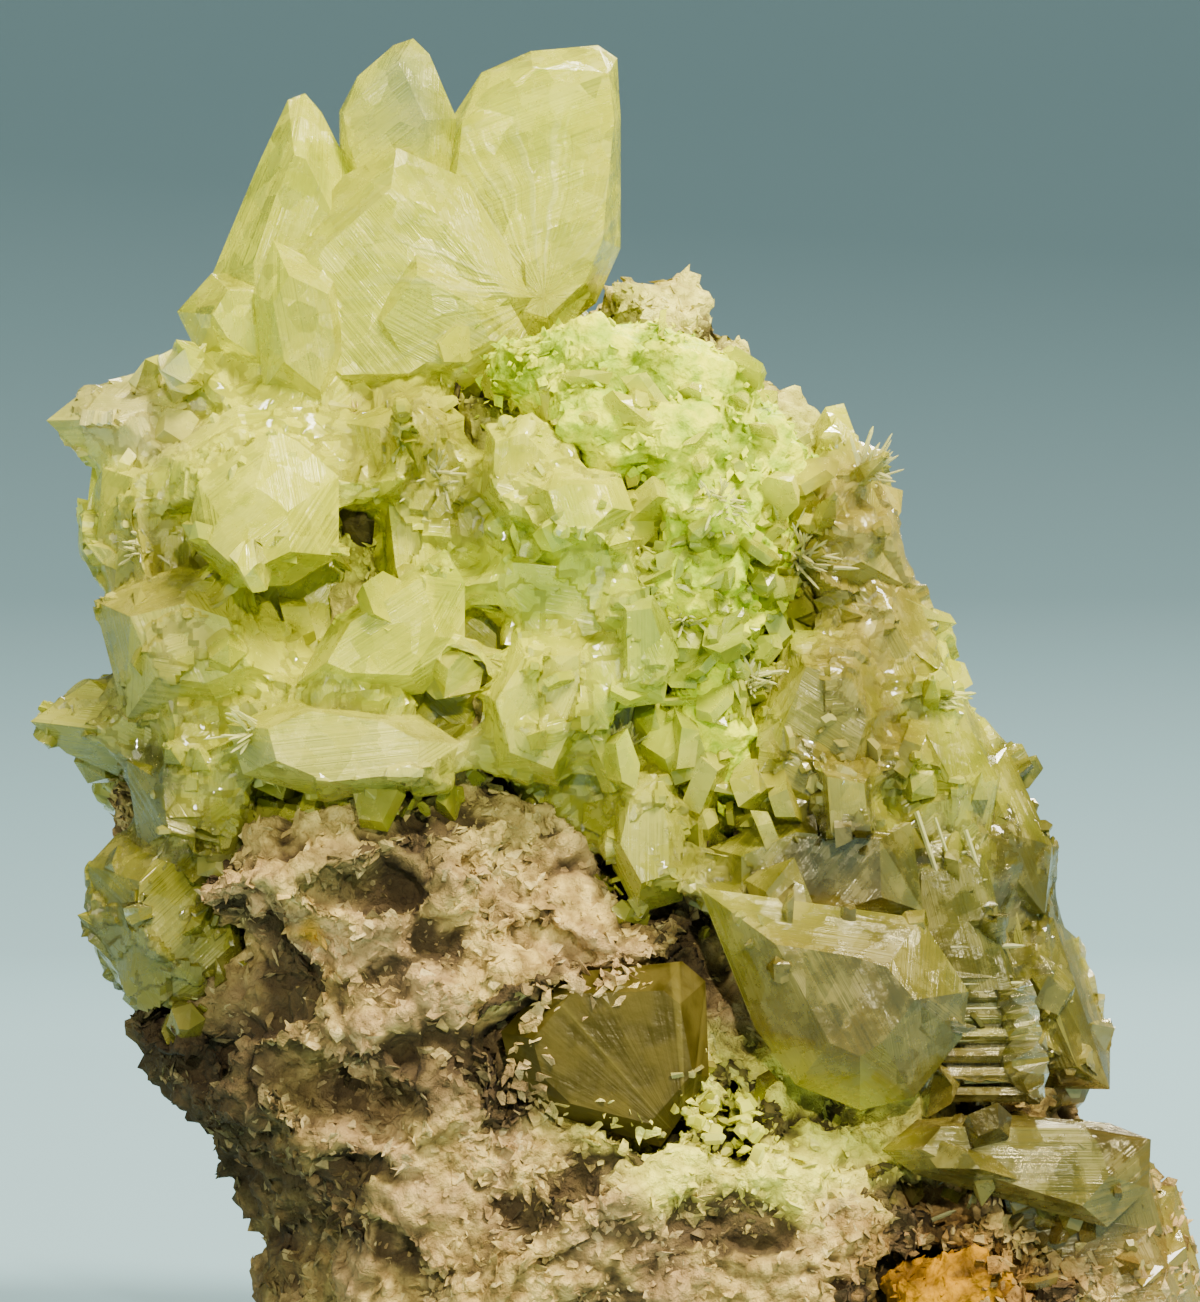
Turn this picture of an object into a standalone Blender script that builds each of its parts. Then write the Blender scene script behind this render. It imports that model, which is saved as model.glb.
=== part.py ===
"""Cerussite crystal group: clear crystals fused in clusters on a crumbly matrix, standing on a sawn foot.

Metres, +Z up, the front towards -Y. The tables below are in millimetres, in the plane that the front view
shows: x to the right and z up from the sawn foot, with a depth that grows towards the back.
"""

import math
import random
from dataclasses import dataclass

import bmesh
import bpy
from mathutils import Matrix, Vector, noise

MM = 0.001

# Driving sizes, in millimetres
CONTACT_GAP = 0.25
ROCK_VOXEL = 0.65
ROCK_TRIANGLE_SHARE = 0.033
CRUST_VOXEL = 0.4
CRUST_TRIANGLE_SHARE = 0.055
CRUST_ROOM_SHARE = 0.03
CRUST_ROUGHNESS = 0.3
TABLE_SLANT = 0.45
TABLE_UNEVENNESS = 0.14
HOLLOW_RAGGEDNESS = 0.35

ROCK_SEED = 11
DRUSE_SEED = 4


@dataclass
class Crystal:
    """A faceted crystal: the hull of its girdle outline, a smaller table in front and a heel behind."""

    outline: tuple
    depth: float
    front: float
    back: float
    table: float = 0.6
    heel: float = 0.6
    focus: tuple = None
    pitch: float = 0.0
    yaw: float = 0.0


@dataclass
class Lump:
    """A rounded mass, given by its centre and its three half-widths."""

    centre: tuple
    radii: tuple
    turn: float = 0.0


@dataclass
class Druse:
    """A patch of small crystals that bristle from a cluster, spread about a centre."""

    centre: tuple
    spread: tuple
    count: int
    length: float
    radius: float
    lean: tuple = (0.0, -1.0, 0.3)


CROWN = {
    "left_peak": Crystal(
        ((-10.2, 42.2), (-9.7, 41.6), (-8.2, 39.0), (-7.8, 34.6), (-10.5, 32.8), (-13.4, 34.0), (-13.2, 36.2),
         (-12.1, 38.2), (-11.7, 39.8), (-10.7, 42.0)),
        depth=-0.8, front=1.9, back=2.8, table=0.56, focus=(-10.0, 37.0),
    ),
    "left_shoulder": Crystal(
        ((-14.3, 35.0), (-13.2, 36.2), (-11.2, 36.2), (-9.6, 33.8), (-11.0, 32.4), (-13.6, 33.6)),
        depth=-1.5, front=1.6, back=3.0, table=0.55, focus=(-11.6, 34.6),
    ),
    "clear_blade": Crystal(
        ((-9.0, 40.4), (-9.0, 41.7), (-8.4, 42.8), (-7.2, 43.8), (-6.6, 44.0), (-6.1, 43.5), (-5.2, 41.4),
         (-5.5, 39.0), (-8.2, 38.6)),
        depth=-0.9, front=1.0, back=1.5, table=0.7, focus=(-7.5, 41.0), yaw=-10,
    ),
    "broad_tablet": Crystal(
        ((-5.2, 41.6), (-4.3, 43.0), (-2.7, 43.7), (-0.5, 43.9), (0.1, 43.5), (0.2, 41.5), (0.2, 37.2),
         (-0.6, 35.4), (-2.2, 34.2), (-5.8, 34.8), (-6.4, 38.6)),
        depth=0.0, front=1.8, back=2.2, table=0.8, focus=(-2.0, 37.2), pitch=-3,
    ),
    "central_mass": Crystal(
        ((-8.8, 39.4), (-7.1, 40.3), (-4.9, 39.3), (-2.3, 35.4), (-3.4, 33.8), (-6.4, 32.3), (-9.4, 31.7),
         (-11.1, 32.8), (-11.4, 36.6)),
        depth=-2.0, front=1.5, back=5.0, table=0.7, focus=(-7.6, 35.8), pitch=4,
    ),
    "front_left_slab": Crystal(
        ((-11.1, 37.2), (-9.0, 36.2), (-8.4, 33.2), (-9.4, 31.2), (-11.4, 32.4), (-11.7, 35.5)),
        depth=-3.0, front=1.0, back=4.0, yaw=8,
    ),
    "front_right_slab": Crystal(
        ((-6.4, 37.0), (-3.6, 35.6), (-2.6, 33.8), (-5.0, 32.4), (-7.6, 32.8), (-8.2, 34.8)),
        depth=-3.1, front=1.0, back=4.0, yaw=-9, pitch=6,
    ),
    "right_wedge": Crystal(
        ((-3.4, 37.2), (-2.0, 37.8), (-0.8, 35.6), (-1.8, 34.0), (-3.4, 34.2)),
        depth=-1.6, front=0.9, back=3.0, table=0.5,
    ),
    "rear_fin": Crystal(
        ((-9.6, 36.0), (-8.4, 40.4), (-5.6, 41.4), (-2.6, 40.0), (-1.2, 36.0), (-5.0, 33.0)),
        depth=3.4, front=2.0, back=1.9, table=0.8, heel=0.5, pitch=-8,
    ),
    "rear_low": Crystal(
        ((-12.4, 33.5), (-11.6, 37.2), (-7.6, 38.2), (-4.0, 36.0), (-4.4, 32.0), (-9.0, 31.0)),
        depth=5.0, front=2.4, back=1.8, heel=0.5, yaw=8,
    ),
    "root": Crystal(
        ((-12.4, 33.4), (-11.0, 36.8), (-3.0, 37.2), (-0.8, 35.0), (-1.8, 32.0), (-7.0, 30.0), (-11.2, 30.8)),
        depth=1.0, front=3.0, back=4.0, table=0.8, heel=0.8,
    ),
}

FRONT = {
    "upper_spike": Crystal(
        ((-18.7, 31.4), (-17.4, 32.4), (-13.8, 33.6), (-12.4, 33.0), (-12.2, 30.8), (-14.6, 29.8), (-16.8, 29.6)),
        depth=-0.9, front=1.6, back=2.6, table=0.5, focus=(-14.4, 31.4), yaw=14,
    ),
    "upper_panel": Crystal(
        ((-14.7, 30.2), (-12.2, 31.8), (-9.8, 31.2), (-8.8, 29.8), (-11.0, 28.4), (-13.4, 28.0), (-15.0, 28.6)),
        depth=-3.9, front=1.4, back=3.6, table=0.6, pitch=8,
    ),
    "edge_block": Crystal(
        ((-16.7, 29.8), (-14.6, 30.5), (-13.7, 28.2), (-14.1, 25.8), (-16.6, 25.5), (-17.0, 27.5)),
        depth=-2.0, front=1.6, back=3.0, table=0.6, yaw=24, pitch=-10,
    ),
    "arrowhead": Crystal(
        ((-13.7, 27.4), (-13.3, 29.2), (-11.0, 30.9), (-10.2, 30.5), (-8.9, 29.4), (-8.9, 26.9), (-10.4, 26.0),
         (-12.2, 25.9)),
        depth=-6.6, front=1.5, back=4.4, table=0.52, focus=(-11.9, 27.1),
    ),
    "roof_crystal": Crystal(
        ((-8.7, 31.2), (-6.1, 32.4), (-4.9, 31.4), (-4.9, 28.0), (-5.9, 27.4), (-8.2, 28.4)),
        depth=-4.4, front=1.2, back=3.2, table=0.5, focus=(-6.5, 30.8),
    ),
    "pale_block": Crystal(
        ((-10.1, 22.8), (-8.9, 24.8), (-7.1, 25.9), (-5.4, 27.0), (-4.8, 26.0), (-4.8, 24.2), (-6.1, 22.5),
         (-9.1, 22.2)),
        depth=-7.7, front=1.3, back=5.2, table=0.64, yaw=-6,
    ),
    "lower_face": Crystal(
        ((-16.8, 25.4), (-13.8, 26.6), (-11.2, 25.4), (-9.6, 22.5), (-12.4, 21.4), (-15.8, 21.6)),
        depth=-4.8, front=1.8, back=4.2, table=0.52, focus=(-13.8, 24.2),
    ),
    "lower_spike": Crystal(
        ((-19.1, 21.5), (-17.2, 22.8), (-14.4, 23.0), (-13.2, 20.9), (-16.1, 19.7), (-17.9, 20.5)),
        depth=-2.6, front=1.6, back=2.8, table=0.5, focus=(-15.4, 21.6), yaw=16, pitch=10,
    ),
    "rubble_block": Crystal(
        ((-15.8, 20.2), (-12.5, 20.8), (-11.5, 18.6), (-12.4, 17.0), (-15.4, 17.3)),
        depth=-4.2, front=1.8, back=3.6, yaw=6,
    ),
    "front_ledge": Crystal(
        ((-12.3, 21.4), (-10.2, 22.2), (-6.4, 21.8), (-4.9, 20.8), (-5.4, 19.5), (-9.2, 19.1), (-11.8, 19.9)),
        depth=-7.6, front=1.6, back=4.2, table=0.66, pitch=-6,
    ),
    "lower_block": Crystal(
        ((-17.1, 16.8), (-16.1, 17.8), (-12.2, 17.2), (-11.7, 13.6), (-13.7, 11.8), (-15.9, 12.7), (-16.9, 15.0)),
        depth=-3.6, front=2.0, back=3.6, table=0.62, yaw=20, pitch=-8,
    ),
    "smooth_knob": Crystal(
        ((-2.6, 29.1), (-1.8, 29.6), (0.2, 29.4), (0.6, 28.3), (-0.7, 27.0), (-1.9, 27.2)),
        depth=-8.3, front=1.1, back=4.2, table=0.6,
    ),
    "pale_wedge": Crystal(
        ((-4.0, 31.0), (-2.6, 31.4), (-1.4, 30.4), (-1.6, 28.6), (-3.2, 27.6), (-4.2, 28.8)),
        depth=-6.9, front=1.3, back=3.0, yaw=-8,
    ),
    "mid_slab": Crystal(
        ((-4.0, 27.2), (-1.6, 27.0), (0.4, 26.8), (1.0, 24.8), (0.0, 23.4), (-3.0, 24.0), (-4.2, 25.2)),
        depth=-6.5, front=1.2, back=3.4,
    ),
    "green_panel": Crystal(
        ((-4.1, 22.4), (-3.0, 24.5), (-0.8, 24.2), (-0.4, 22.2), (-1.8, 19.5), (-3.8, 19.9)),
        depth=-7.4, front=1.2, back=3.4, table=0.68, pitch=6,
    ),
    "upright_prism": Crystal(
        ((0.2, 25.6), (1.3, 25.9), (1.9, 24.2), (1.6, 22.2), (0.2, 22.0)),
        depth=-7.8, front=0.9, back=3.0,
    ),
    "low_green_block": Crystal(
        ((0.2, 19.7), (1.7, 20.0), (2.3, 18.4), (2.2, 15.8), (0.8, 15.4), (-0.2, 17.5)),
        depth=-6.6, front=1.3, back=3.4,
    ),
    "centre_root": Crystal(
        ((-7.4, 29.6), (-0.5, 30.0), (1.9, 26.0), (2.0, 18.0), (0.8, 16.6), (-3.6, 20.0), (-7.2, 22.4)),
        depth=-3.9, front=1.8, back=2.8, table=0.9, heel=0.8,
    ),
    "rear_upper": Crystal(
        ((-16.6, 26.0), (-15.2, 30.6), (-11.6, 31.4), (-10.6, 27.0), (-13.4, 24.4)),
        depth=4.2, front=3.0, back=1.8, heel=0.45, yaw=-10,
    ),
    "rear_lower": Crystal(
        ((-17.2, 19.0), (-16.4, 23.6), (-13.0, 25.0), (-11.8, 20.6), (-14.0, 17.6)),
        depth=4.0, front=3.4, back=2.0, heel=0.45, yaw=-6,
    ),
    "root": Crystal(
        ((-15.4, 31.2), (-9.0, 31.8), (-5.6, 30.6), (-5.4, 22.6), (-7.2, 19.8), (-11.8, 14.8), (-14.4, 14.8),
         (-15.4, 18.0), (-15.6, 26.0)),
        depth=-1.4, front=2.6, back=4.4, table=0.84, heel=0.88,
    ),
}

RIGHT_FLANK = {
    "spray_fan": Crystal(
        ((5.6, 26.2), (6.3, 29.6), (7.3, 31.4), (8.2, 30.4), (9.1, 28.0), (9.5, 26.0), (7.4, 25.0)),
        depth=-3.8, front=1.4, back=3.6, table=0.5, focus=(6.9, 27.6), yaw=-10,
    ),
    "amber_tablet": Crystal(
        ((7.4, 31.0), (8.8, 30.4), (8.8, 28.4), (9.4, 26.9), (7.6, 27.0)),
        depth=-1.4, front=0.9, back=2.2, table=0.7,
    ),
    "brown_slope": Crystal(
        ((6.4, 26.2), (9.7, 26.2), (10.8, 23.4), (9.2, 21.4), (6.6, 23.0)),
        depth=-3.5, front=1.3, back=3.8, yaw=-12,
    ),
    "long_blade": Crystal(
        ((4.5, 21.4), (5.8, 24.4), (8.0, 24.4), (9.1, 22.0), (8.2, 18.6), (6.2, 17.8), (4.5, 18.4)),
        depth=-5.4, front=1.4, back=3.6, table=0.6, yaw=6,
    ),
    "outer_blade": Crystal(
        ((8.6, 23.0), (10.8, 23.2), (12.6, 19.6), (12.2, 17.2), (9.8, 16.8), (8.6, 19.0)),
        depth=-3.6, front=1.4, back=3.6, yaw=-20, pitch=8,
    ),
    "small_prism": Crystal(
        ((6.7, 20.0), (8.2, 19.8), (8.3, 17.9), (6.9, 17.8)),
        depth=-7.3, front=0.8, back=3.2, table=0.76,
    ),
    "amber_window": Crystal(
        ((3.2, 17.4), (5.6, 18.6), (9.6, 18.2), (10.0, 15.4), (6.8, 14.8), (3.6, 15.6)),
        depth=-5.8, front=1.2, back=3.4, table=0.7,
    ),
    "shield": Crystal(
        ((2.8, 16.2), (4.2, 16.0), (7.4, 15.5), (9.8, 15.2), (11.3, 12.9), (11.1, 11.5), (9.6, 9.6), (7.9, 9.2),
         (5.9, 10.0), (4.6, 11.8)),
        depth=-8.5, front=1.6, back=5.8, table=0.46, focus=(7.8, 12.6),
    ),
    "terrace_body": Crystal(
        ((9.6, 17.9), (12.0, 17.4), (13.9, 9.8), (10.2, 9.5), (9.5, 13.0)),
        depth=-4.8, front=1.0, back=3.0, table=0.8,
    ),
    "crust_upper": Crystal(
        ((10.8, 20.4), (12.8, 20.6), (14.5, 17.4), (14.4, 15.2), (12.4, 15.0), (11.4, 17.6)),
        depth=-2.2, front=1.6, back=2.8, yaw=-22, pitch=-10,
    ),
    "crust_lower": Crystal(
        ((12.6, 15.4), (14.6, 15.0), (15.6, 11.6), (16.3, 9.4), (14.0, 9.4), (13.0, 12.0)),
        depth=-2.0, front=1.4, back=3.0, yaw=-20, pitch=8,
    ),
    "rear_blade": Crystal(
        ((7.0, 21.0), (8.6, 26.6), (11.2, 24.6), (12.6, 19.0), (9.6, 17.6)),
        depth=3.0, front=2.6, back=1.8, heel=0.45, yaw=10,
    ),
    "root": Crystal(
        ((5.4, 27.0), (8.2, 28.8), (10.4, 23.6), (13.4, 17.0), (14.6, 10.6), (10.0, 9.8), (4.6, 14.6),
         (4.6, 21.0)),
        depth=-1.0, front=2.4, back=3.2, table=0.84, heel=0.88,
    ),
}

FOOT_CRYSTALS = {
    "striated_plate": Crystal(
        ((8.7, 7.8), (9.8, 8.7), (12.1, 8.9), (15.9, 8.6), (17.2, 8.1), (17.1, 6.6), (15.8, 5.4), (14.3, 5.8),
         (9.7, 7.1)),
        depth=-7.8, front=0.9, back=2.4, table=0.7, focus=(12.6, 7.6), pitch=-10,
    ),
    "foot_block": Crystal(
        ((13.2, 5.6), (15.6, 6.6), (18.3, 6.4), (19.0, 3.8), (19.3, 1.2), (13.8, 1.2)),
        depth=-4.6, front=2.2, back=4.2, table=0.6, yaw=-8,
    ),
    "root": Crystal(
        ((11.6, 6.6), (13.6, 8.0), (17.2, 7.8), (18.2, 5.0), (16.2, 2.4), (13.0, 3.6)),
        depth=-4.4, front=2.6, back=3.4, table=0.8,
    ),
}

BACK = {
    "high_blade": Crystal(
        ((-6.4, 26.6), (-5.6, 31.4), (-3.0, 33.0), (-0.4, 30.4), (-1.0, 26.8), (-3.6, 25.2)),
        depth=6.4, front=3.4, back=2.2, table=0.7, heel=0.46, pitch=-8,
    ),
    "middle_blade": Crystal(
        ((-1.8, 26.8), (1.0, 29.4), (4.0, 27.0), (3.4, 22.8), (0.4, 21.6), (-1.6, 23.2)),
        depth=7.0, front=3.6, back=2.2, table=0.7, heel=0.5, yaw=10,
    ),
    "low_blade": Crystal(
        ((-8.8, 21.4), (-7.4, 26.4), (-4.2, 26.8), (-2.4, 22.8), (-3.6, 19.4), (-6.6, 18.8)),
        depth=7.6, front=4.0, back=2.0, table=0.7, heel=0.5, yaw=-8,
    ),
    "side_prism": Crystal(
        ((3.0, 21.6), (5.2, 23.4), (6.8, 20.4), (5.6, 16.4), (3.4, 17.2)),
        depth=7.2, front=3.6, back=1.9, table=0.7, heel=0.5, yaw=14,
    ),
    "foot_prism": Crystal(
        ((-2.6, 20.2), (0.4, 21.6), (2.8, 18.6), (1.6, 14.2), (-1.6, 13.8)),
        depth=8.4, front=4.2, back=1.7, table=0.7, heel=0.55,
    ),
    "root": Crystal(
        ((-5.6, 28.0), (-2.0, 29.6), (2.6, 26.0), (4.6, 20.4), (1.0, 16.6), (-4.6, 20.4), (-6.4, 23.8)),
        depth=5.6, front=1.6, back=2.2, table=0.9, heel=0.9,
    ),
}

OLIVE_CRYSTAL = {
    "fan": Crystal(
        ((-3.5, 11.6), (-1.8, 13.4), (0.9, 13.0), (2.2, 13.8), (2.9, 13.2), (3.0, 10.2), (1.5, 8.0), (-1.7, 9.0),
         (-3.1, 10.0)),
        depth=-8.3, front=1.0, back=3.4, table=0.72, focus=(0.2, 10.6), pitch=-6,
    ),
}

GREEN_CRUST = (
    Lump((-2.4, -5.0, 32.8), (1.9, 1.5, 1.3)),
    Lump((-0.7, -5.2, 33.2), (1.8, 1.7, 1.4)),
    Lump((1.2, -5.2, 32.9), (1.9, 1.9, 1.6)),
    Lump((3.0, -4.6, 32.0), (1.9, 2.0, 1.7)),
    Lump((-0.4, -6.4, 31.2), (1.7, 1.4, 1.4)),
    Lump((2.0, -6.4, 30.6), (2.0, 1.6, 1.7)),
    Lump((4.6, -4.6, 29.9), (1.7, 2.0, 1.9)),
    Lump((3.2, -6.2, 28.4), (1.9, 1.6, 1.6)),
    Lump((0.6, -4.8, 29.8), (2.8, 1.9, 2.6)),
    Lump((3.0, -6.0, 26.2), (1.9, 1.6, 1.7)),
    Lump((4.6, -4.0, 27.0), (1.7, 2.2, 2.6)),
    Lump((3.5, -5.8, 24.1), (1.5, 1.5, 1.6)),
    Lump((3.2, -5.6, 22.0), (1.4, 1.5, 1.6)),
    Lump((1.0, -4.9, 25.0), (1.8, 1.5, 3.0)),
    Lump((3.2, -4.4, 20.0), (1.5, 2.0, 2.2)),
)

RUST_CRUST = (
    Lump((10.0, -8.2, 3.3), (1.3, 1.4, 1.2)),
    Lump((11.4, -8.6, 3.6), (1.2, 1.3, 0.9)),
    Lump((12.2, -7.8, 2.6), (1.3, 1.4, 1.2)),
    Lump((10.8, -8.4, 2.1), (1.6, 1.4, 1.2)),
)

# The matrix: the broad core first, then the crumbly masses that stand out of its front and its flanks
ROCK = (
    Lump((2.4, 1.5, 3.0), (14.6, 9.6, 8.0)),
    Lump((0.6, 1.5, 9.0), (14.2, 9.0, 8.0)),
    Lump((-1.6, 1.5, 16.0), (12.6, 8.0, 8.0)),
    Lump((-2.6, 1.5, 23.0), (11.0, 7.2, 8.0)),
    Lump((-4.6, 1.5, 28.6), (9.2, 6.0, 6.2)),
    Lump((5.6, 1.4, 18.0), (6.0, 6.4, 8.4)),
    Lump((2.8, 0.6, 28.0), (4.9, 5.4, 5.7)),
    Lump((1.3, 0.2, 33.5), (2.6, 3.2, 2.9)),
    Lump((-13.2, 0.8, 31.8), (3.0, 2.6, 1.6)),
    Lump((-13.2, 1.0, 18.0), (3.6, 5.0, 5.0)),
    Lump((-12.4, 0.2, 12.0), (3.7, 5.2, 4.2)),
    Lump((-4.4, -5.4, 12.0), (7.4, 3.9, 5.4)),
    Lump((-7.6, -5.6, 16.4), (6.0, 3.4, 2.6)),
    Lump((-9.2, -4.8, 9.0), (3.2, 3.6, 3.6)),
    Lump((0.0, -5.6, 5.4), (9.6, 4.4, 5.4)),
    Lump((7.6, -4.6, 4.2), (7.6, 4.4, 4.6)),
    Lump((14.2, -0.6, 2.6), (4.9, 6.6, 5.6)),
    Lump((10.8, 0.6, 10.0), (4.5, 4.6, 6.4)),
    Lump((6.4, 0.4, 24.0), (3.0, 3.2, 4.6)),
)

# Hollows in the matrix: the undercut at the lower left, the gashes below the ledges and the small slots
HOLLOWS = (
    Lump((-14.2, -8.6, 4.2), (6.4, 7.2, 6.2)),
    Lump((-10.6, -9.4, 10.2), (5.2, 3.4, 1.3), turn=22),
    Lump((-4.0, -9.6, 17.5), (2.5, 2.4, 0.8), turn=4),
    Lump((-8.5, -9.4, 19.2), (1.5, 2.2, 0.7)),
    Lump((-8.2, -9.9, 16.1), (2.7, 2.0, 0.95)),
    Lump((-1.6, -9.8, 14.4), (3.0, 2.6, 0.8), turn=14),
    Lump((-7.6, -10.2, 4.0), (1.8, 2.6, 2.4), turn=-20),
    Lump((-3.2, -10.6, 1.6), (2.6, 2.4, 1.2)),
    Lump((3.6, -8.4, 18.8), (0.9, 2.6, 0.8)),
    Lump((10.4, -8.2, 6.0), (1.7, 3.0, 0.9), turn=16),
    Lump((3.7, -9.0, 8.9), (0.6, 2.8, 1.6)),
    Lump((-12.0, -4.4, 33.6), (0.9, 2.4, 0.8)),
)

# Terraces: stacked growth steps on the right flank, each one lower, wider and further forward
TERRACE_COUNT = 7
TERRACE_TOP = 13.4
TERRACE_DROP = 0.62
TERRACE_THICKNESS = 0.34
TERRACE_LEFT = 10.4
TERRACE_RIGHT = 12.9
TERRACE_WIDENING = 0.13
TERRACE_FRONT = -5.9
TERRACE_STEP = 0.16
TERRACE_REACH = 2.4

DRUSES = {
    "front_crystals": (
        Druse((-13.0, -1.8, 33.2), (0.9, 1.2, 0.4), 2, 1.3, 0.45, (-0.3, -0.6, 0.8)),
        Druse((-15.4, -1.8, 32.0), (0.9, 1.2, 0.4), 2, 1.2, 0.45, (-0.6, -0.6, 0.5)),
        Druse((-16.0, -1.8, 26.8), (0.6, 1.6, 1.6), 2, 1.3, 0.45, (-0.8, -0.6, 0.2)),
        Druse((-13.6, -5.2, 19.8), (1.8, 0.8, 1.6), 3, 1.6, 0.5, (-0.2, -1.0, 0.3)),
        Druse((-16.0, -2.8, 15.6), (0.6, 1.8, 1.2), 2, 1.4, 0.45, (-0.8, -0.6, 0.1)),
        Druse((-7.4, -6.6, 28.6), (1.0, 0.8, 1.6), 2, 2.2, 0.35, (0.2, -1.0, 0.5)),
        Druse((-1.4, -7.4, 21.6), (1.4, 0.5, 1.4), 3, 2.2, 0.36, (0.1, -0.8, 0.8)),
        Druse((0.4, -7.2, 27.4), (1.2, 0.5, 1.0), 2, 1.5, 0.42, (0.2, -1.0, 0.2)),
    ),
    "right_flank_crystals": (
        Druse((7.4, -4.8, 28.2), (1.1, 0.8, 1.4), 4, 2.2, 0.36, (0.5, -0.9, 0.6)),
        Druse((11.6, -3.6, 18.6), (0.9, 1.0, 1.8), 2, 1.5, 0.5, (0.6, -0.8, 0.3)),
        Druse((13.6, -3.0, 12.6), (0.7, 1.0, 2.0), 2, 1.3, 0.45, (0.7, -0.7, 0.1)),
        Druse((6.4, -5.8, 17.0), (1.8, 0.5, 0.9), 2, 1.5, 0.4, (0.0, -1.0, 0.3)),
        Druse((9.6, -4.8, 20.8), (0.8, 0.5, 1.4), 2, 1.6, 0.4, (0.5, -1.0, 0.2)),
    ),
    "foot_crystals": (
        Druse((16.8, -5.0, 4.4), (0.8, 1.2, 1.4), 2, 1.4, 0.5, (0.7, -0.7, 0.1)),
    ),
    "back_crystals": (
        Druse((-3.4, 8.2, 24.2), (1.8, 0.8, 1.6), 3, 1.7, 0.5, (-0.3, 1.0, 0.4)),
        Druse((2.2, 8.0, 21.6), (1.6, 0.8, 1.6), 3, 1.6, 0.5, (0.4, 1.0, 0.2)),
    ),
}

# Colours in linear RGB
CLEAR_YELLOW = (0.56, 0.52, 0.20, 1.0)
CLEAR_OLIVE = (0.34, 0.29, 0.08, 1.0)
LIME_GREEN = (0.50, 0.66, 0.10, 1.0)
RUST_ORANGE = (0.36, 0.16, 0.02, 1.0)
CRUMBLY_TAN = (0.36, 0.28, 0.14, 1.0)


def clear_scene():
    for obj in list(bpy.data.objects):
        bpy.data.objects.remove(obj, do_unlink=True)


def new_collection(name, parent=None):
    collection = bpy.data.collections.new(name)
    (parent or bpy.context.scene.collection).children.link(collection)
    return collection


def new_material(name, colour, roughness, transmission=0.0, ior=1.5):
    material = bpy.data.materials.new(name)
    material.use_nodes = True
    shader = material.node_tree.nodes["Principled BSDF"]
    shader.inputs["Base Color"].default_value = colour
    shader.inputs["Roughness"].default_value = roughness
    shader.inputs["Metallic"].default_value = 0.0
    shader.inputs["Transmission Weight"].default_value = transmission
    shader.inputs["IOR"].default_value = ior
    material.diffuse_color = colour
    return material


def mesh_object(name, bm, collection, helper=False):
    """An object from a bmesh, which is freed. A helper only cuts or joins, and isn't part of the specimen."""
    bmesh.ops.triangulate(bm, faces=bm.faces)
    mesh = bpy.data.meshes.new(name)
    bm.to_mesh(mesh)
    bm.free()
    obj = bpy.data.objects.new(name, mesh)
    collection.objects.link(obj)
    if helper:
        obj.hide_render = True
        obj.display_type = "WIRE"
    return obj


def hull_of(points):
    """The convex hull of the points as a bmesh, with its flat facets whole."""
    bm = bmesh.new()
    for point in points:
        bm.verts.new(point)
    bmesh.ops.convex_hull(bm, input=bm.verts)
    bmesh.ops.delete(bm, geom=[v for v in bm.verts if not v.link_faces], context="VERTS")
    bmesh.ops.dissolve_limit(bm, angle_limit=math.radians(0.5), verts=bm.verts, edges=bm.edges)
    bmesh.ops.recalc_face_normals(bm, faces=bm.faces)
    return bm


def swell(bm, gap):
    """Moves every facet of a convex solid outwards by the gap, given in millimetres."""
    bm.normal_update()
    moved = [v.co + v.normal * v.calc_shell_factor() * gap * MM for v in bm.verts]
    for vert, place in zip(bm.verts, moved):
        vert.co = place


def crystal_mesh(crystal, gap=0.0):
    """The crystal's hull, turned about the centre of its outline and swollen by the gap."""
    outline = [Vector((x, 0.0, z)) for x, z in crystal.outline]
    middle = sum(outline, Vector()) / len(outline)
    focus = Vector((crystal.focus[0], 0.0, crystal.focus[1])) if crystal.focus else middle
    centre = middle + Vector((0.0, crystal.depth, 0.0))
    turn = Matrix.Rotation(math.radians(crystal.yaw), 3, "Z") @ Matrix.Rotation(math.radians(crystal.pitch), 3, "X")
    reach = max((corner - middle).length for corner in outline)
    rng = random.Random(round(1000 * crystal.depth + 10 * middle.x + middle.z))
    front_slant = Vector((rng.uniform(-1, 1), 0.0, rng.uniform(-1, 1))) * TABLE_SLANT / reach
    back_slant = Vector((rng.uniform(-1, 1), 0.0, rng.uniform(-1, 1))) * TABLE_SLANT / reach
    points = []
    for corner in outline:
        girdle = corner - middle
        share = crystal.table * (1 + rng.uniform(-TABLE_UNEVENNESS, TABLE_UNEVENNESS))
        table = focus + (corner - focus) * share - middle
        heel = girdle * crystal.heel
        table.y = -crystal.front * (1 + front_slant.dot(table))
        heel.y = crystal.back * (1 + back_slant.dot(heel))
        points += [girdle, table, heel]
    bm = hull_of([(centre + turn @ point) * MM for point in points])
    if gap:
        swell(bm, gap)
    return bm


def druse_sprigs(druse, rng):
    """The small crystals of a patch, each as (foot, tip, radius) in millimetres."""
    sprigs = []
    for _ in range(druse.count):
        foot = Vector(c + rng.uniform(-s, s) for c, s in zip(druse.centre, druse.spread))
        lean = Vector(druse.lean) + Vector(rng.uniform(-0.5, 0.5) for _ in range(3))
        reach = druse.length * rng.uniform(0.7, 1.3)
        sprigs.append((foot - lean.normalized() * reach, foot + lean.normalized() * reach, druse.radius))
    return sprigs


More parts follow.
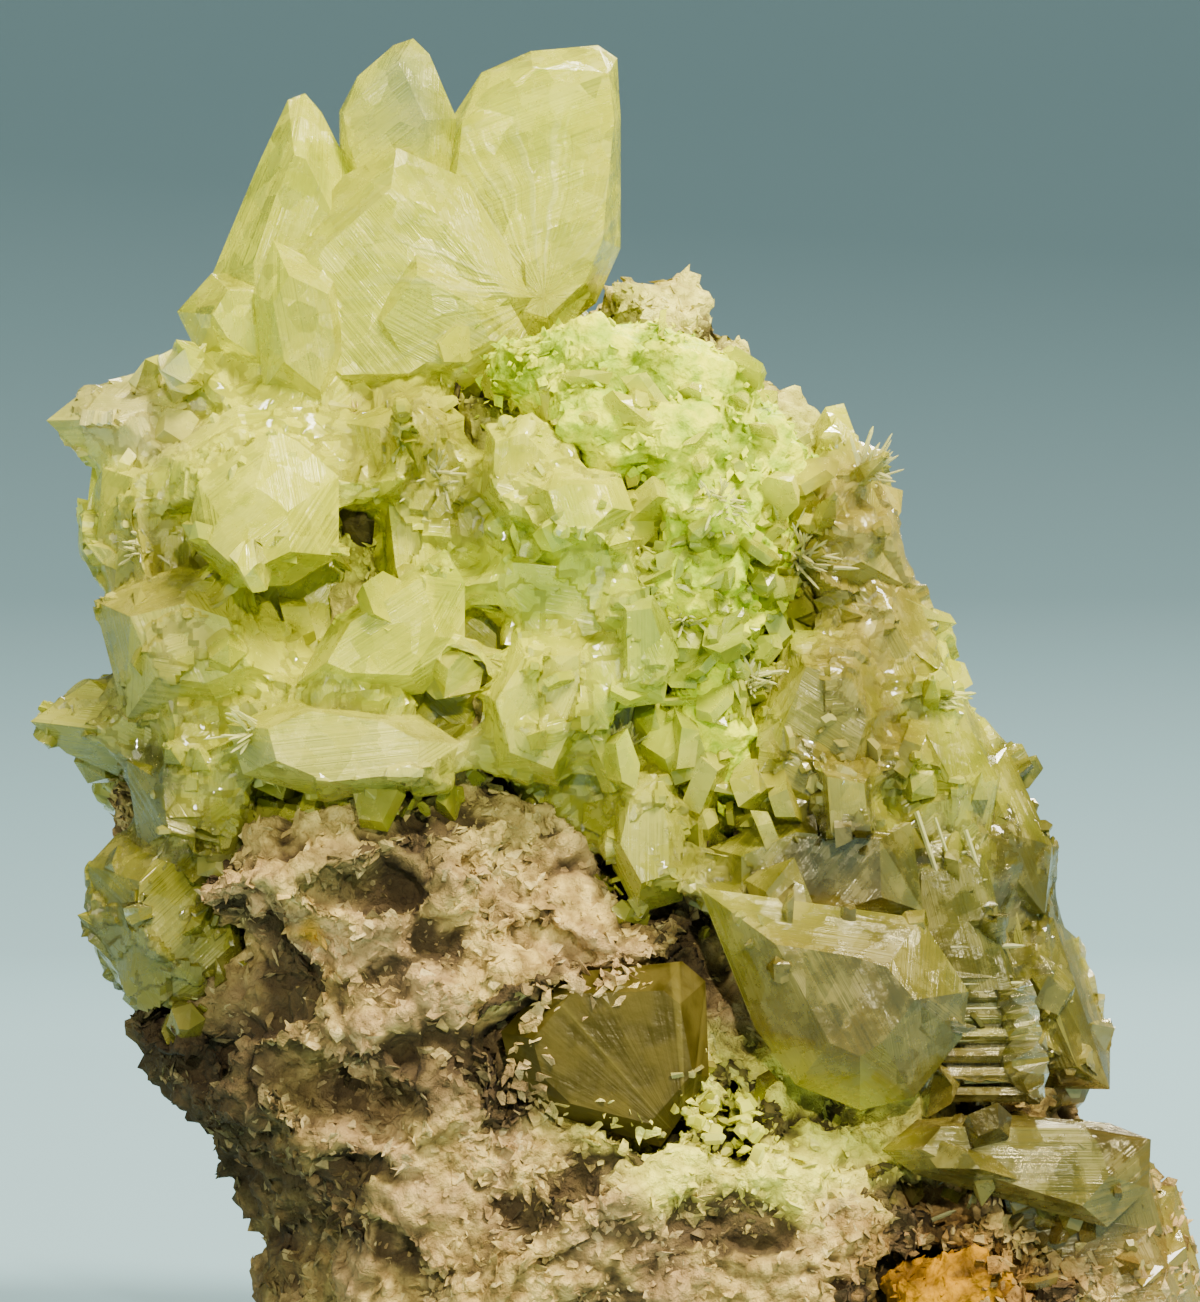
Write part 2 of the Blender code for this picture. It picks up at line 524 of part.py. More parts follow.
def sprig_mesh(foot, tip, radius, gap=0.0):
    """A short five-sided crystal with a blunt point, from its foot to its tip."""
    axis = tip - foot
    bm = bmesh.new()
    bmesh.ops.create_cone(
        bm, cap_ends=True, segments=5, radius1=radius * MM, radius2=radius * 0.85 * MM, depth=axis.length * MM * 0.75
    )
    bmesh.ops.translate(bm, verts=bm.verts, vec=(0, 0, -axis.length * MM * 0.125))
    bm.verts.new((0, 0, axis.length * MM / 2))
    points = [v.co.copy() for v in bm.verts]
    bm.free()
    turn = axis.to_track_quat("Z", "Y")
    bm = hull_of([turn @ point + (foot + tip) / 2 * MM for point in points])
    if gap:
        swell(bm, gap)
    return bm


def terrace_mesh(step, gap=0.0):
    """One growth step of the terraced crystal: a thin slab with a cut-back rim."""
    top = TERRACE_TOP - step * TERRACE_DROP
    left, right = TERRACE_LEFT, TERRACE_RIGHT + step * TERRACE_WIDENING
    front = TERRACE_FRONT - step * TERRACE_STEP
    rim = 0.12
    points = []
    for z, inset in ((top, rim), (top - TERRACE_THICKNESS / 2, 0.0), (top - TERRACE_THICKNESS, rim)):
        points += [
            (left + inset, front + inset, z), (right - inset, front + inset, z),
            (right - inset, front + TERRACE_REACH, z), (left + inset, front + TERRACE_REACH, z),
        ]
    bm = hull_of([Vector(point) * MM for point in points])
    if gap:
        swell(bm, gap)
    return bm


def lump_mesh(lump, gap=0.0, rings=3, ragged=0.0):
    """A rounded mass as an ico sphere, stretched, turned in the front plane and swollen by the gap."""
    bm = bmesh.new()
    bmesh.ops.create_icosphere(bm, subdivisions=rings, radius=1.0)
    for vert in bm.verts:
        vert.co *= 1 + ragged * noise.noise(vert.co * 2.2 + Vector(lump.centre))
    stretch = Matrix.Diagonal([(r + gap) * MM for r in lump.radii] + [1.0])
    turn = Matrix.Rotation(math.radians(lump.turn), 4, "Y")
    place = Matrix.Translation(Vector(lump.centre) * MM)
    bmesh.ops.transform(bm, matrix=place @ turn @ stretch, verts=bm.verts)
    return bm


def solids_of_cluster(name, crystals, gap=0.0):
    """Every convex solid of a cluster as (label, bmesh): its crystals, its growth steps and its druses."""
    solids = [(f"{name}_{label}", crystal_mesh(crystal, gap)) for label, crystal in crystals.items()]
    if name == "right_flank_crystals":
        solids += [(f"{name}_terrace", terrace_mesh(step, gap)) for step in range(TERRACE_COUNT)]
    rng = random.Random(DRUSE_SEED)
    for druse in DRUSES.get(name, ()):
        solids += [(f"{name}_sprig", sprig_mesh(*sprig, gap)) for sprig in druse_sprigs(druse, rng)]
    return solids


def boolean(obj, operation, collection):
    modifier = obj.modifiers.new(operation.title(), "BOOLEAN")
    modifier.operation = operation
    modifier.operand_type = "COLLECTION"
    modifier.collection = collection
    modifier.solver = "EXACT"
    return modifier


def keep_largest_body(bm):
    """Deletes crumbs that a cut has set free, so that one closed body is left."""
    bm.verts.ensure_lookup_table()
    unseen = set(bm.verts)
    bodies = []
    while unseen:
        edge_of_search = [unseen.pop()]
        body = set(edge_of_search)
        while edge_of_search:
            vert = edge_of_search.pop()
            for edge in vert.link_edges:
                other = edge.other_vert(vert)
                if other in unseen:
                    unseen.discard(other)
                    body.add(other)
                    edge_of_search.append(other)
        bodies.append(body)
    largest = max(bodies, key=len)
    crumbs = [vert for body in bodies if body is not largest for vert in body]
    bmesh.ops.delete(bm, geom=crumbs, context="VERTS")


def settle(obj, material, merge=0.002):
    """Makes an object's modifiers final, drops loose crumbs and gives the piece its material."""
    bpy.context.view_layer.update()
    graph = bpy.context.evaluated_depsgraph_get()
    mesh = bpy.data.meshes.new_from_object(obj.evaluated_get(graph))
    bm = bmesh.new()
    bm.from_mesh(mesh)
    bmesh.ops.remove_doubles(bm, verts=bm.verts, dist=merge * MM)
    keep_largest_body(bm)
    bm.to_mesh(mesh)
    bm.free()
    obj.modifiers.clear()
    obj.data = mesh
    mesh.materials.clear()
    mesh.materials.append(material)
    return obj


def build_cluster(name, crystals, material, pieces, helpers, cutters):
    """Fuses a cluster's crystals into one solid, cut clear of the pieces named by the cutters."""
    joined = new_collection(f"{name}_joined", helpers)
    solids = solids_of_cluster(name, crystals)
    root = solids.pop([label for label, _ in solids].index(f"{name}_{list(crystals)[-1]}"))
    obj = mesh_object(name, root[1], pieces)
    for label, bm in solids:
        mesh_object(label, bm, joined, helper=True)
    if solids:
        boolean(obj, "UNION", joined)
    for cutter in cutters:
        boolean(obj, "DIFFERENCE", cutter)
    return settle(obj, material)


def swollen_cluster(name, crystals, helpers):
    """A collection of the cluster's solids, swollen by the contact gap, to cut its neighbours with."""
    collection = new_collection(f"{name}_room", helpers)
    for label, bm in solids_of_cluster(name, crystals, CONTACT_GAP):
        mesh_object(f"{label}_room", bm, collection, helper=True)
    return collection


def crumble(obj, voxel, coarse, fine, seed):
    """Fuses overlapping lumps into one rough surface: lumps of the coarse size, with finer ones on them."""
    remesh = obj.modifiers.new("Fuse", "REMESH")
    remesh.mode = "VOXEL"
    remesh.voxel_size = voxel * MM
    settle(obj, obj.data.materials[0] if obj.data.materials else None, merge=0.001)
    offset = Vector((seed, seed * 2.0, seed * 3.0))
    moved = []
    for vert in obj.data.vertices:
        place = vert.co / MM
        size, height = coarse
        blocks = noise.cell_vector(place / size + offset).x * 0.25
        distances, _ = noise.voronoi(place / size + offset)
        shift = height * (0.75 - distances[0] * 1.3 + blocks)
        size, height = fine
        shift += height * noise.noise(place / size + offset)
        moved.append(vert.co + vert.normal * shift * MM)
    for vert, place in zip(obj.data.vertices, moved):
        vert.co = place
    return obj


def build_lumpy_piece(name, lumps, material, pieces, voxel, share, coarse, fine, seed, gap=0.0):
    """A rough mass of overlapping lumps, thinned to the share of its triangles that its forms need."""
    bm = bmesh.new()
    for lump in lumps:
        part = lump_mesh(lump, gap)
        mesh = bpy.data.meshes.new("lump")
        part.to_mesh(mesh)
        part.free()
        bm.from_mesh(mesh)
        bpy.data.meshes.remove(mesh)
    obj = mesh_object(name, bm, pieces)
    obj.data.materials.append(material)
    crumble(obj, voxel, coarse, fine, seed)
    thin = obj.modifiers.new("Thin", "DECIMATE")
    thin.ratio = share
    return settle(obj, material)


def saw_foot(helpers):
    """A box that takes off everything below the sawn foot."""
    collection = new_collection("saw", helpers)
    bm = bmesh.new()
    bmesh.ops.create_cube(bm, size=1.0)
    bmesh.ops.scale(bm, vec=(0.08, 0.08, 0.03), verts=bm.verts)
    bmesh.ops.translate(bm, vec=(0, 0, -0.015), verts=bm.verts)
    mesh_object("saw_block", bm, collection, helper=True)
    return collection


def hollow_cutters(helpers):
    """A collection of ragged lumps that hollow the matrix."""
    collection = new_collection("hollows", helpers)
    for lump in HOLLOWS:
        cutter = lump_mesh(lump, rings=2, ragged=HOLLOW_RAGGEDNESS)
        mesh_object("hollow", cutter, collection, helper=True)
    return collection


def centre_over_origin(pieces):
    """Moves the specimen so that the middle of its box stands over the origin."""
    corners = [v.co for obj in pieces.objects for v in obj.data.vertices]
    middle_x = (min(c.x for c in corners) + max(c.x for c in corners)) / 2
    middle_y = (min(c.y for c in corners) + max(c.y for c in corners)) / 2
    for obj in pieces.objects:
        obj.data.transform(Matrix.Translation((-middle_x, -middle_y, 0)))
    print(f"shifted by {-middle_x / MM:.3f}, {-middle_y / MM:.3f} mm")


def main():
    clear_scene()
    pieces = new_collection("cerussite_crystal_group")
    helpers = new_collection("cutters")
    clear = new_material("clear_cerussite", CLEAR_YELLOW, 0.15, 0.6, 1.9)
    olive = new_material("olive_cerussite", CLEAR_OLIVE, 0.2, 0.6, 1.9)
    lime = new_material("lime_crust", LIME_GREEN, 0.45)
    rust = new_material("rust_crust", RUST_ORANGE, 0.5)
    tan = new_material("crumbly_matrix", CRUMBLY_TAN, 0.8)

    clusters = {
        "crown_crystals": (CROWN, clear),
        "front_crystals": (FRONT, clear),
        "right_flank_crystals": (RIGHT_FLANK, clear),
        "foot_crystals": (FOOT_CRYSTALS, clear),
        "back_crystals": (BACK, clear),
        "olive_crystal": (OLIVE_CRYSTAL, olive),
    }
    saw = saw_foot(helpers)
    rooms = []
    for name, (crystals, material) in clusters.items():
        build_cluster(name, crystals, material, pieces, helpers, rooms + [saw])
        rooms.append(swollen_cluster(name, crystals, helpers))

    crust_room = new_collection("crust_room", helpers)
    for name, lumps, material, seed in (
        ("green_crust", GREEN_CRUST, lime, 3),
        ("rust_crust", RUST_CRUST, rust, 5),
    ):
        crust = build_lumpy_piece(
            name, lumps, material, pieces, CRUST_VOXEL, CRUST_TRIANGLE_SHARE, coarse=(1.1, CRUST_ROUGHNESS),
            fine=(0.5, CRUST_ROUGHNESS / 2), seed=seed,
        )
        for room in rooms + [saw]:
            boolean(crust, "DIFFERENCE", room)
        settle(crust, material)
        room = build_lumpy_piece(
            f"{name}_room", lumps, material, crust_room, CRUST_VOXEL, CRUST_ROOM_SHARE, coarse=(1.0, 0.0),
            fine=(1.0, 0.0), seed=seed, gap=CONTACT_GAP + CRUST_ROUGHNESS,
        )
        room.hide_render = True
        room.display_type = "WIRE"

    matrix = build_lumpy_piece(
        "matrix", ROCK, tan, pieces, ROCK_VOXEL, ROCK_TRIANGLE_SHARE, coarse=(3.2, 1.0), fine=(1.1, 0.5),
        seed=ROCK_SEED,
    )
    for cutter in [hollow_cutters(helpers), crust_room] + rooms + [saw]:
        boolean(matrix, "DIFFERENCE", cutter)
    settle(matrix, tan)
    centre_over_origin(pieces)


main()
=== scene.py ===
# %% [markdown]
# Cerussite crystal group
# The object is a mineral specimen the size of a walnut: clear, pale yellow crystals of cerussite have grown in
# clusters over a crumbly tan rock. The solids of the rock and of the clusters already exist as a fixed frame. This
# lesson gives them what solids with flat facets can't have: sugary grain, growth lines, glassy depth and colour.
# The first cell loads the frame and notes its box, because the finished specimen has to stay inside it.

import math
import random

import bmesh
import bpy
import numpy as np
from mathutils import Matrix, Vector, noise
from mathutils.bvhtree import BVHTree


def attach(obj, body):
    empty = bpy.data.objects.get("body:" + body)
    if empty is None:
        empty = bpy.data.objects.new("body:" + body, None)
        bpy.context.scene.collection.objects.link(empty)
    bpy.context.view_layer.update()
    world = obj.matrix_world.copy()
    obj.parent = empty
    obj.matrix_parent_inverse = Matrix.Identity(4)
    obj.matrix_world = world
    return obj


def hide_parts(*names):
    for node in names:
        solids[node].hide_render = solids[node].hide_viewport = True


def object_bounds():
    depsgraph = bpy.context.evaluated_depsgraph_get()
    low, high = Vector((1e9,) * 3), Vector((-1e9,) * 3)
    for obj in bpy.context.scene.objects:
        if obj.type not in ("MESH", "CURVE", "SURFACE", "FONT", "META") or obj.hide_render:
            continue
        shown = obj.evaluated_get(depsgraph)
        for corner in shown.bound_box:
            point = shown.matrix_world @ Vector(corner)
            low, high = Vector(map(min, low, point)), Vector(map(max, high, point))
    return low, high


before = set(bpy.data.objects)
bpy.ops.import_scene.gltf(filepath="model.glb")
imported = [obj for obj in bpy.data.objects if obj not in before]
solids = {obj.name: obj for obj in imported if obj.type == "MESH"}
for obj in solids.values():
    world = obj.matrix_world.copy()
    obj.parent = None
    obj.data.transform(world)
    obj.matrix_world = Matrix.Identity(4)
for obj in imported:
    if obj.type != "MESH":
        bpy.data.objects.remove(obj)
noise.seed_set(5)
cad_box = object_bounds()
MM = 0.001
print("solids:", sorted(solids))

# %% [markdown]
# The camera comes first, so that every later piece can be judged in the view that matters. The specimen is seen
# level, from straight in front, through a long lens, so heights and widths keep their proportions. Its foot runs out
# of the frame at the bottom, as in a close portrait.

# %% Camera
LENS = 180.0
FRAME_HEIGHT = 43.4
FRAME_CENTRE = Vector((-0.55, 0.0, 23.8))

camera = bpy.data.objects.new("camera", bpy.data.cameras.new("camera"))
bpy.context.scene.collection.objects.link(camera)
camera.data.lens = LENS
camera.data.sensor_width = 36.0
camera.data.clip_start = 0.005
distance = FRAME_HEIGHT * LENS / camera.data.sensor_width
camera.location = (FRAME_CENTRE + Vector((0, -distance, 0))) * MM
camera.rotation_euler = (math.radians(90), 0, 0)
bpy.context.scene.camera = camera
print(f"camera {distance:.0f} mm in front of the specimen")

# %% [markdown]
# Materials are built from nodes, and a long chain of Math nodes is hard to read as code. A small class wraps a
# socket, so that an expression such as 1 - mask * 0.5 adds its own nodes. A second class holds one material, and its
# one method for any other node takes the type, the settings and the socket values.

# %% Shader helpers
class Signal:
    """A number that changes over a surface. Arithmetic on it adds Math nodes."""

    def __init__(self, finish, socket):
        self.finish = finish
        self.socket = socket

    def combine(self, operation, first, second=0.0):
        return self.finish.node("ShaderNodeMath", {"operation": operation}, {0: first, 1: second})[0]

    def __add__(self, other):
        return self.combine("ADD", self, other)

    __radd__ = __add__

    def __sub__(self, other):
        return self.combine("SUBTRACT", self, other)

    def __rsub__(self, other):
        return self.combine("SUBTRACT", other, self)

    def __mul__(self, other):
        return self.combine("MULTIPLY", self, other)

    __rmul__ = __mul__

    def __truediv__(self, other):
        return self.combine("DIVIDE", self, other)

    def __pow__(self, other):
        return self.combine("POWER", self, other)

    def lowest(self, other):
        return self.combine("MINIMUM", self, other)

    def highest(self, other):
        return self.combine("MAXIMUM", self, other)

    def between(self, low, high):
        """0 where the number is at low, 1 where it's at high, with a soft step between them."""
        settings = {"interpolation_type": "SMOOTHSTEP"}
        return self.finish.node("ShaderNodeMapRange", settings, {0: self, 1: low, 2: high})[0]


class Finish:
    """One material: its Principled shader and the nodes that feed it."""

    def __init__(self, name, **constants):
        self.material = bpy.data.materials.new(name)
        self.material.use_nodes = True
        self.tree = self.material.node_tree
        self.shader = self.tree.nodes["Principled BSDF"]
        self.output = self.tree.nodes["Material Output"]
        for socket, value in constants.items():
            self.shader.inputs[socket.replace("_", " ")].default_value = value
        coordinates = self.node("ShaderNodeTexCoord")
        scaled = {"operation": "SCALE"}
        self.place = self.node("ShaderNodeVectorMath", scaled, {0: coordinates["Object"], "Scale": 1 / MM})[0]
        x, y, z = self.node("ShaderNodeSeparateXYZ", {}, {0: self.place})
        self.x, self.y, self.z = x, y, z

    def node(self, kind, settings=None, inputs=None):
        """Adds a node, sets it up and feeds it. Returns its outputs as signals, by number or by name."""
        made = self.tree.nodes.new(kind)
        for key, value in (settings or {}).items():
            if key == "stops":
                self.set_stops(made.color_ramp, value)
            else:
                setattr(made, key, value)
        for key, value in (inputs or {}).items():
            self.feed(made.inputs[key], value)
        return Outputs(self, made)

    def set_stops(self, ramp, stops):
        while len(ramp.elements) < len(stops):
            ramp.elements.new(1.0)
        for element, (position, colour) in zip(ramp.elements, stops):
            element.position = position
            element.color = colour

    def feed(self, socket, value):
        if isinstance(value, Signal):
            self.tree.links.new(value.socket, socket)
        else:
            socket.default_value = value

    def wire(self, **inputs):
        for name, value in inputs.items():
            self.feed(self.shader.inputs[name.replace("_", " ")], value)

    def grain(self, size, detail=3.0, roughness=0.5, stretch=None, distortion=0.0):
        """Soft noise whose blotches are about as wide as the size in millimetres."""
        place = self.place if stretch is None else self.stretched(stretch)
        values = {"Vector": place, "Scale": 1 / size, "Detail": detail, "Roughness": roughness,
                  "Distortion": distortion}
        return self.node("ShaderNodeTexNoise", {}, values)["Fac"]

    def stretched(self, scale, turn=(0, 0, 0)):
        return self.node("ShaderNodeMapping", {}, {"Vector": self.place, "Rotation": turn, "Scale": scale})[0]

    def cells(self, size, output="Distance", feature="F1"):
        values = {"Vector": self.place, "Scale": 1 / size}
        return self.node("ShaderNodeTexVoronoi", {"feature": feature}, values)[output]

    def blend(self, share, first, second, mode="MIX"):
        settings = {"data_type": "RGBA", "blend_type": mode}
        mixed = self.node("ShaderNodeMix", settings, {0: share, 6: first, 7: second})
        return mixed[2]

    def attribute(self, name, output="Fac"):
        return self.node("ShaderNodeAttribute", {"attribute_name": name})[output]

    def zoned(self, colour):
        """Covers a colour with the tint that the points carry, as far as the tint's alpha says."""
        tint = self.node("ShaderNodeAttribute", {"attribute_name": "tint"})
        return self.blend(tint["Alpha"], colour, tint["Color"])

    def bump(self, height, strength, depth):
        """Feeds a height, in parts of the depth in millimetres, to the shader as fine relief."""
        values = {"Height": height, "Strength": strength, "Distance": depth * MM}
        self.wire(Normal=self.node("ShaderNodeBump", {}, values)[0])

    def absorb(self, colour, density):
        volume = self.node("ShaderNodeVolumeAbsorption", {}, {"Color": colour, "Density": density})
        self.tree.links.new(volume[0].socket, self.output.inputs["Volume"])


class Outputs:
    """A node's outputs, each wrapped as a signal."""

    def __init__(self, finish, node):
        self.finish = finish
        self.node = node

    def __getitem__(self, key):
        return Signal(self.finish, self.node.outputs[key])

    def __iter__(self):
        return (Signal(self.finish, socket) for socket in self.node.outputs)


print("shader helpers ready")

# %% [markdown]
# A specimen is photographed on a pale sheet that curves up behind it, so that no corner shows. Here the sheet is a
# round bowl with an open top: it looks the same from every side. A profile turned around the vertical axis makes it.

# %% Pale bowl
BOWL_PROFILE = ((0.0, 0.0), (0.30, 0.0), (0.52, 0.03), (0.70, 0.10), (0.84, 0.24), (0.92, 0.44), (0.95, 0.72))
BOWL_COLOUR = (0.155, 0.265, 0.30, 1.0)

bowl_mesh = bmesh.new()
rim = [bowl_mesh.verts.new((radius, 0, height)) for radius, height in BOWL_PROFILE]
for start, end in zip(rim, rim[1:]):
    bowl_mesh.edges.new((start, end))
bmesh.ops.spin(bowl_mesh, geom=bowl_mesh.verts[:] + bowl_mesh.edges[:], axis=(0, 0, 1), cent=(0, 0, 0), steps=96,
               angle=math.tau)
bmesh.ops.remove_doubles(bowl_mesh, verts=bowl_mesh.verts, dist=0.0001)
bmesh.ops.recalc_face_normals(bowl_mesh, faces=bowl_mesh.faces)
mesh = bpy.data.meshes.new("bowl")
bowl_mesh.to_mesh(mesh)
bowl_mesh.free()
mesh.shade_smooth()
bowl = bpy.data.objects.new("bowl", mesh)
bpy.context.scene.collection.objects.link(bowl)
sheet = Finish("pale_sheet", Base_Color=BOWL_COLOUR, Roughness=0.9)
sheet.wire(Roughness=0.85 + 0.1 * sheet.grain(30.0))
mesh.materials.append(sheet.material)
print("bowl", len(mesh.polygons), "faces")

# %% [markdown]
# Soft studio light: a broad key from the upper right in front, a dim fill from the left, and a light from behind and
# above. The light from behind matters most for clear crystals, because it shines through them and makes them glow.

# %% Lights
def area_light(name, place, aim, size, power, colour=(1, 1, 1)):
    light = bpy.data.lights.new(name, "AREA")
    light.shape = "DISK"
    light.size = size
    light.energy = power
    light.color = colour
    lamp = bpy.data.objects.new(name, light)
    lamp.location = place
    lamp.rotation_euler = (Vector(aim) - Vector(place)).to_track_quat("-Z", "Y").to_euler()
    bpy.context.scene.collection.objects.link(lamp)
    return lamp


area_light("key", (0.15, -0.22, 0.36), (0, 0, 0.024), 0.13, 6.6, (1.0, 0.93, 0.80))
area_light("fill", (-0.34, -0.30, 0.12), (0, 0, 0.022), 0.22, 1.0, (1.0, 0.98, 0.88))
area_light("back", (0.10, 0.26, 0.36), (0, 0, 0.028), 0.14, 5.0, (1.0, 0.95, 0.82))
area_light("spark", (0.05, -0.40, 0.14), (0, 0, 0.024), 0.010, 1.3, (1.0, 0.98, 0.93))
world = bpy.data.worlds.new("studio")
world.use_nodes = True
world.node_tree.nodes["Background"].inputs["Color"].default_value = (0.90, 0.88, 0.78, 1.0)
world.node_tree.nodes["Background"].inputs["Strength"].default_value = 0.52
bpy.context.scene.world = world

# %% [markdown]
# Every detailed piece starts from a copy of its solid, because the solids themselves stay as they are. A copy of a
# crystal cluster keeps its crisp facets and is only swollen a little, to close the seams. A copy of the rock or of a
# crust is remeshed into an even net of small faces that can take relief.

# %% Copies of the solids
def copy_of(name, node):
    """A plain copy of a solid, whose loose triangles are merged."""
    mesh = solids[node].data.copy()
    bm = bmesh.new()
    bm.from_mesh(mesh)
    bmesh.ops.remove_doubles(bm, verts=bm.verts, dist=1e-6)
    bm.to_mesh(mesh)
    bm.free()
    mesh.materials.clear()
    piece = bpy.data.objects.new(name, mesh)
    bpy.context.scene.collection.objects.link(piece)
    return piece


def joined(name, nodes):
    """One object with copies of several solids."""
    bm = bmesh.new()
    for node in nodes:
        bm.from_mesh(solids[node].data)
    bmesh.ops.remove_doubles(bm, verts=bm.verts, dist=1e-6)
    mesh = bpy.data.meshes.new(name)
    bm.to_mesh(mesh)
    bm.free()
    piece = bpy.data.objects.new(name, mesh)
    bpy.context.scene.collection.objects.link(piece)
    return piece


def settled(piece):
    """Turns an object with modifiers into one with a plain mesh."""
    graph = bpy.context.evaluated_depsgraph_get()
    mesh = bpy.data.meshes.new_from_object(piece.evaluated_get(graph))
    piece.modifiers.clear()
    piece.data = mesh
    return piece


def netted(piece, voxel):
    """Remeshes a copy into small, even faces."""
    remesh = piece.modifiers.new("net", "REMESH")
    remesh.mode = "VOXEL"
    remesh.voxel_size = voxel * MM
    return settled(piece)


def finished(piece, material, slot, *replaced):
    """Gives a piece its material and its place on the specimen."""
    piece.data.materials.clear()
    piece.data.materials.append(material)
    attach(piece, "root")
    if replaced:
        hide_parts(*replaced)
    triangles = sum(len(face.vertices) - 2 for face in piece.data.polygons)
    print(f"{piece.name}: {triangles} triangles")
    return piece


print("copy helpers ready")

# %% [markdown]
# The specimen's colour changes from place to place: lemon yellow at the top, lime beside the crust, olive and amber
# low on the right. Part of it is painted light and shade. The tones low down are darker partly for the light that
# falls off towards the foot. The undercut is nearly black with painted shade, and gaps and hollows carry painted shade.
# The blade at the top carries a painted grey of the backdrop seen through it, and painted light lifts the rock's deep
# olive pocket. Each such zone is a soft ellipsoid, given in millimetres by its middle, its radii, its colour and how
# strongly it covers what is under it. The zones are worked out once for each point of a piece and kept as a colour
# attribute, which is quicker to render than dozens of nodes in every material.

# %% Colour zones
CRYSTAL_ZONES = {
    "bright lens": ((-11.4, -8, 27.4), (2.4, 6, 1.5), (0.66, 0.67, 0.02), 0.85),
    "yellow mass": ((-6.0, -9, 24.4), (4.2, 6, 2.6), (1.0, 0.98, 0.03), 0.9),
    "glow below the lens": ((-8.8, -8, 25.6), (2.0, 6, 1.3), (0.40, 0.46, 0.02), 0.9),
    "lime middle": ((-2.6, -8, 26.6), (3.6, 6, 2.2), (0.74, 0.86, 0.01), 0.8),
    # The olive roof and pocket are darker partly as painted shade, for the recess that they line.
    "olive roof": ((-6.9, -6, 31.2), (2.6, 5, 1.5), (0.50, 0.47, 0.03), 0.9),
    "olive pocket": ((-5.8, -7, 28.8), (2.0, 5, 1.5), (0.34, 0.34, 0.03), 0.85),
    "dusty left tip": ((-16.6, -5, 31.6), (3.4, 8, 2.2), (0.66, 0.58, 0.20), 0.8),
    "dusty left face": ((-15.4, -6, 25.0), (3.2, 8, 4.2), (0.44, 0.39, 0.05), 0.85),
    "low left spike": ((-17.2, -4, 21.4), (3.0, 8, 1.8), (0.36, 0.34, 0.055), 0.8),
    # Painted shade: the gap on the left is coloured nearly black for the shade in it.
    "painted shade in the left gap": ((-15.6, -4, 19.2), (2.4, 8, 1.4), (0.10, 0.10, 0.012), 0.85),
    "lower left crystal": ((-14.8, -5, 15.4), (3.8, 8, 3.6), (0.23, 0.205, 0.02), 0.92),
    "pale ledge": ((-8.4, -9, 20.6), (4.0, 6, 1.4), (0.80, 0.74, 0.20), 0.6),
    "green below the crust": ((3.0, -8, 25.2), (3.4, 6, 3.2), (0.34, 0.46, 0.03), 0.75),
    "dusty right flank": ((8.6, -6, 27.0), (3.4, 8, 5.0), (0.36, 0.28, 0.05), 0.9),
    "lime right spot": ((1.2, -9, 22.0), (2.4, 6, 1.8), (0.62, 0.74, 0.02), 0.7),
    # The darker zones low on the right, from the blades to the striped plate, are partly painted shade for light that
    # falls off towards the foot.
    "right blades": ((7.4, -8, 21.4), (3.2, 8, 3.0), (0.22, 0.17, 0.022), 0.88),
    "amber": ((7.2, -8, 16.8), (3.8, 8, 2.1), (0.05, 0.032, 0.002), 0.95),
    "shield": ((7.8, -9, 12.4), (5.2, 8, 4.0), (0.19, 0.130, 0.009), 0.95),
    # Painted shade: the hollow in the shield is darker for the shade in it.
    "painted shade in the shield hollow": ((8.2, -9, 12.8), (1.9, 8, 1.7), (0.12, 0.095, 0.014), 0.8),
    "terraces": ((11.8, -7, 14.0), (2.6, 8, 4.4), (0.09, 0.088, 0.010), 0.92),
    "right rim": ((14.2, -5, 17.6), (2.4, 9, 5.0), (0.10, 0.085, 0.008), 0.9),
    "green film": ((4.8, -8, 8.6), (3.8, 6, 1.6), (1.0, 0.98, 0.05), 0.95),
    "foot block": ((14.5, -5, 4.0), (5.6, 8, 2.4), (0.26, 0.16, 0.03), 0.95),
    "striped plate": ((13.4, -5, 7.6), (6.4, 8, 3.2), (0.055, 0.037, 0.003), 0.95),
    # Painted see-through: the clear crystal blade at the top gets a grey that stands for the backdrop seen through it.
    "painted backdrop grey in the blade": ((-6.9, -4, 42.4), (1.5, 5, 2.3), (0.50, 0.56, 0.26), 0.85),
}
ROCK_ZONES = {
    "under the crystals": ((-4.0, -8, 19.4), (9.0, 9, 2.4), (0.68, 0.53, 0.13), 0.6),
    "beside the crust": ((1.6, -5, 31.4), (7.6, 8, 5.4), (0.50, 0.58, 0.03), 0.85),
    "sugary shoulder": ((4.0, -3, 34.2), (3.6, 8, 2.6), (0.95, 0.85, 0.17), 0.9),
    # Partly painted light: the olive of the deep pocket is raised far brighter, to lift the shade that fills the hole.
    "olive pocket": ((-8.0, -6, 28.0), (2.6, 6, 2.6), (0.80, 0.80, 0.06), 0.98),
    "green film": ((4.6, -8, 8.6), (6.4, 8, 3.0), (0.95, 0.90, 0.10), 0.92),
    "rusty foot": ((11.0, -8, 3.2), (4.2, 6, 3.2), (0.24, 0.11, 0.014), 0.8),
    "ochre spot": ((-10.2, -8, 14.5), (0.7, 6, 0.6), (0.60, 0.34, 0.01), 0.9),
    # Painted shade: the undercut at the lower left, the gash and the oval recess are coloured dark for the shade that
    # falls in them.
    "painted shade in the left undercut": ((-16.6, -4, 7.0), (9.0, 12, 8.6), (0.048, 0.032, 0.010), 0.93),
    "gash": ((-5.2, -8, 9.8), (4.6, 6, 1.1), (0.075, 0.048, 0.014), 0.7),
    "painted shade in the oval recess": ((-7.4, -8, 16.6), (3.2, 6, 1.3), (0.16, 0.12, 0.03), 0.8),
}


def places_of(piece):
    """The points of a piece as an array of millimetres."""
    flat = np.empty(len(piece.data.vertices) * 3)
    piece.data.vertices.foreach_get("co", flat)
    return flat.reshape(-1, 3) / MM


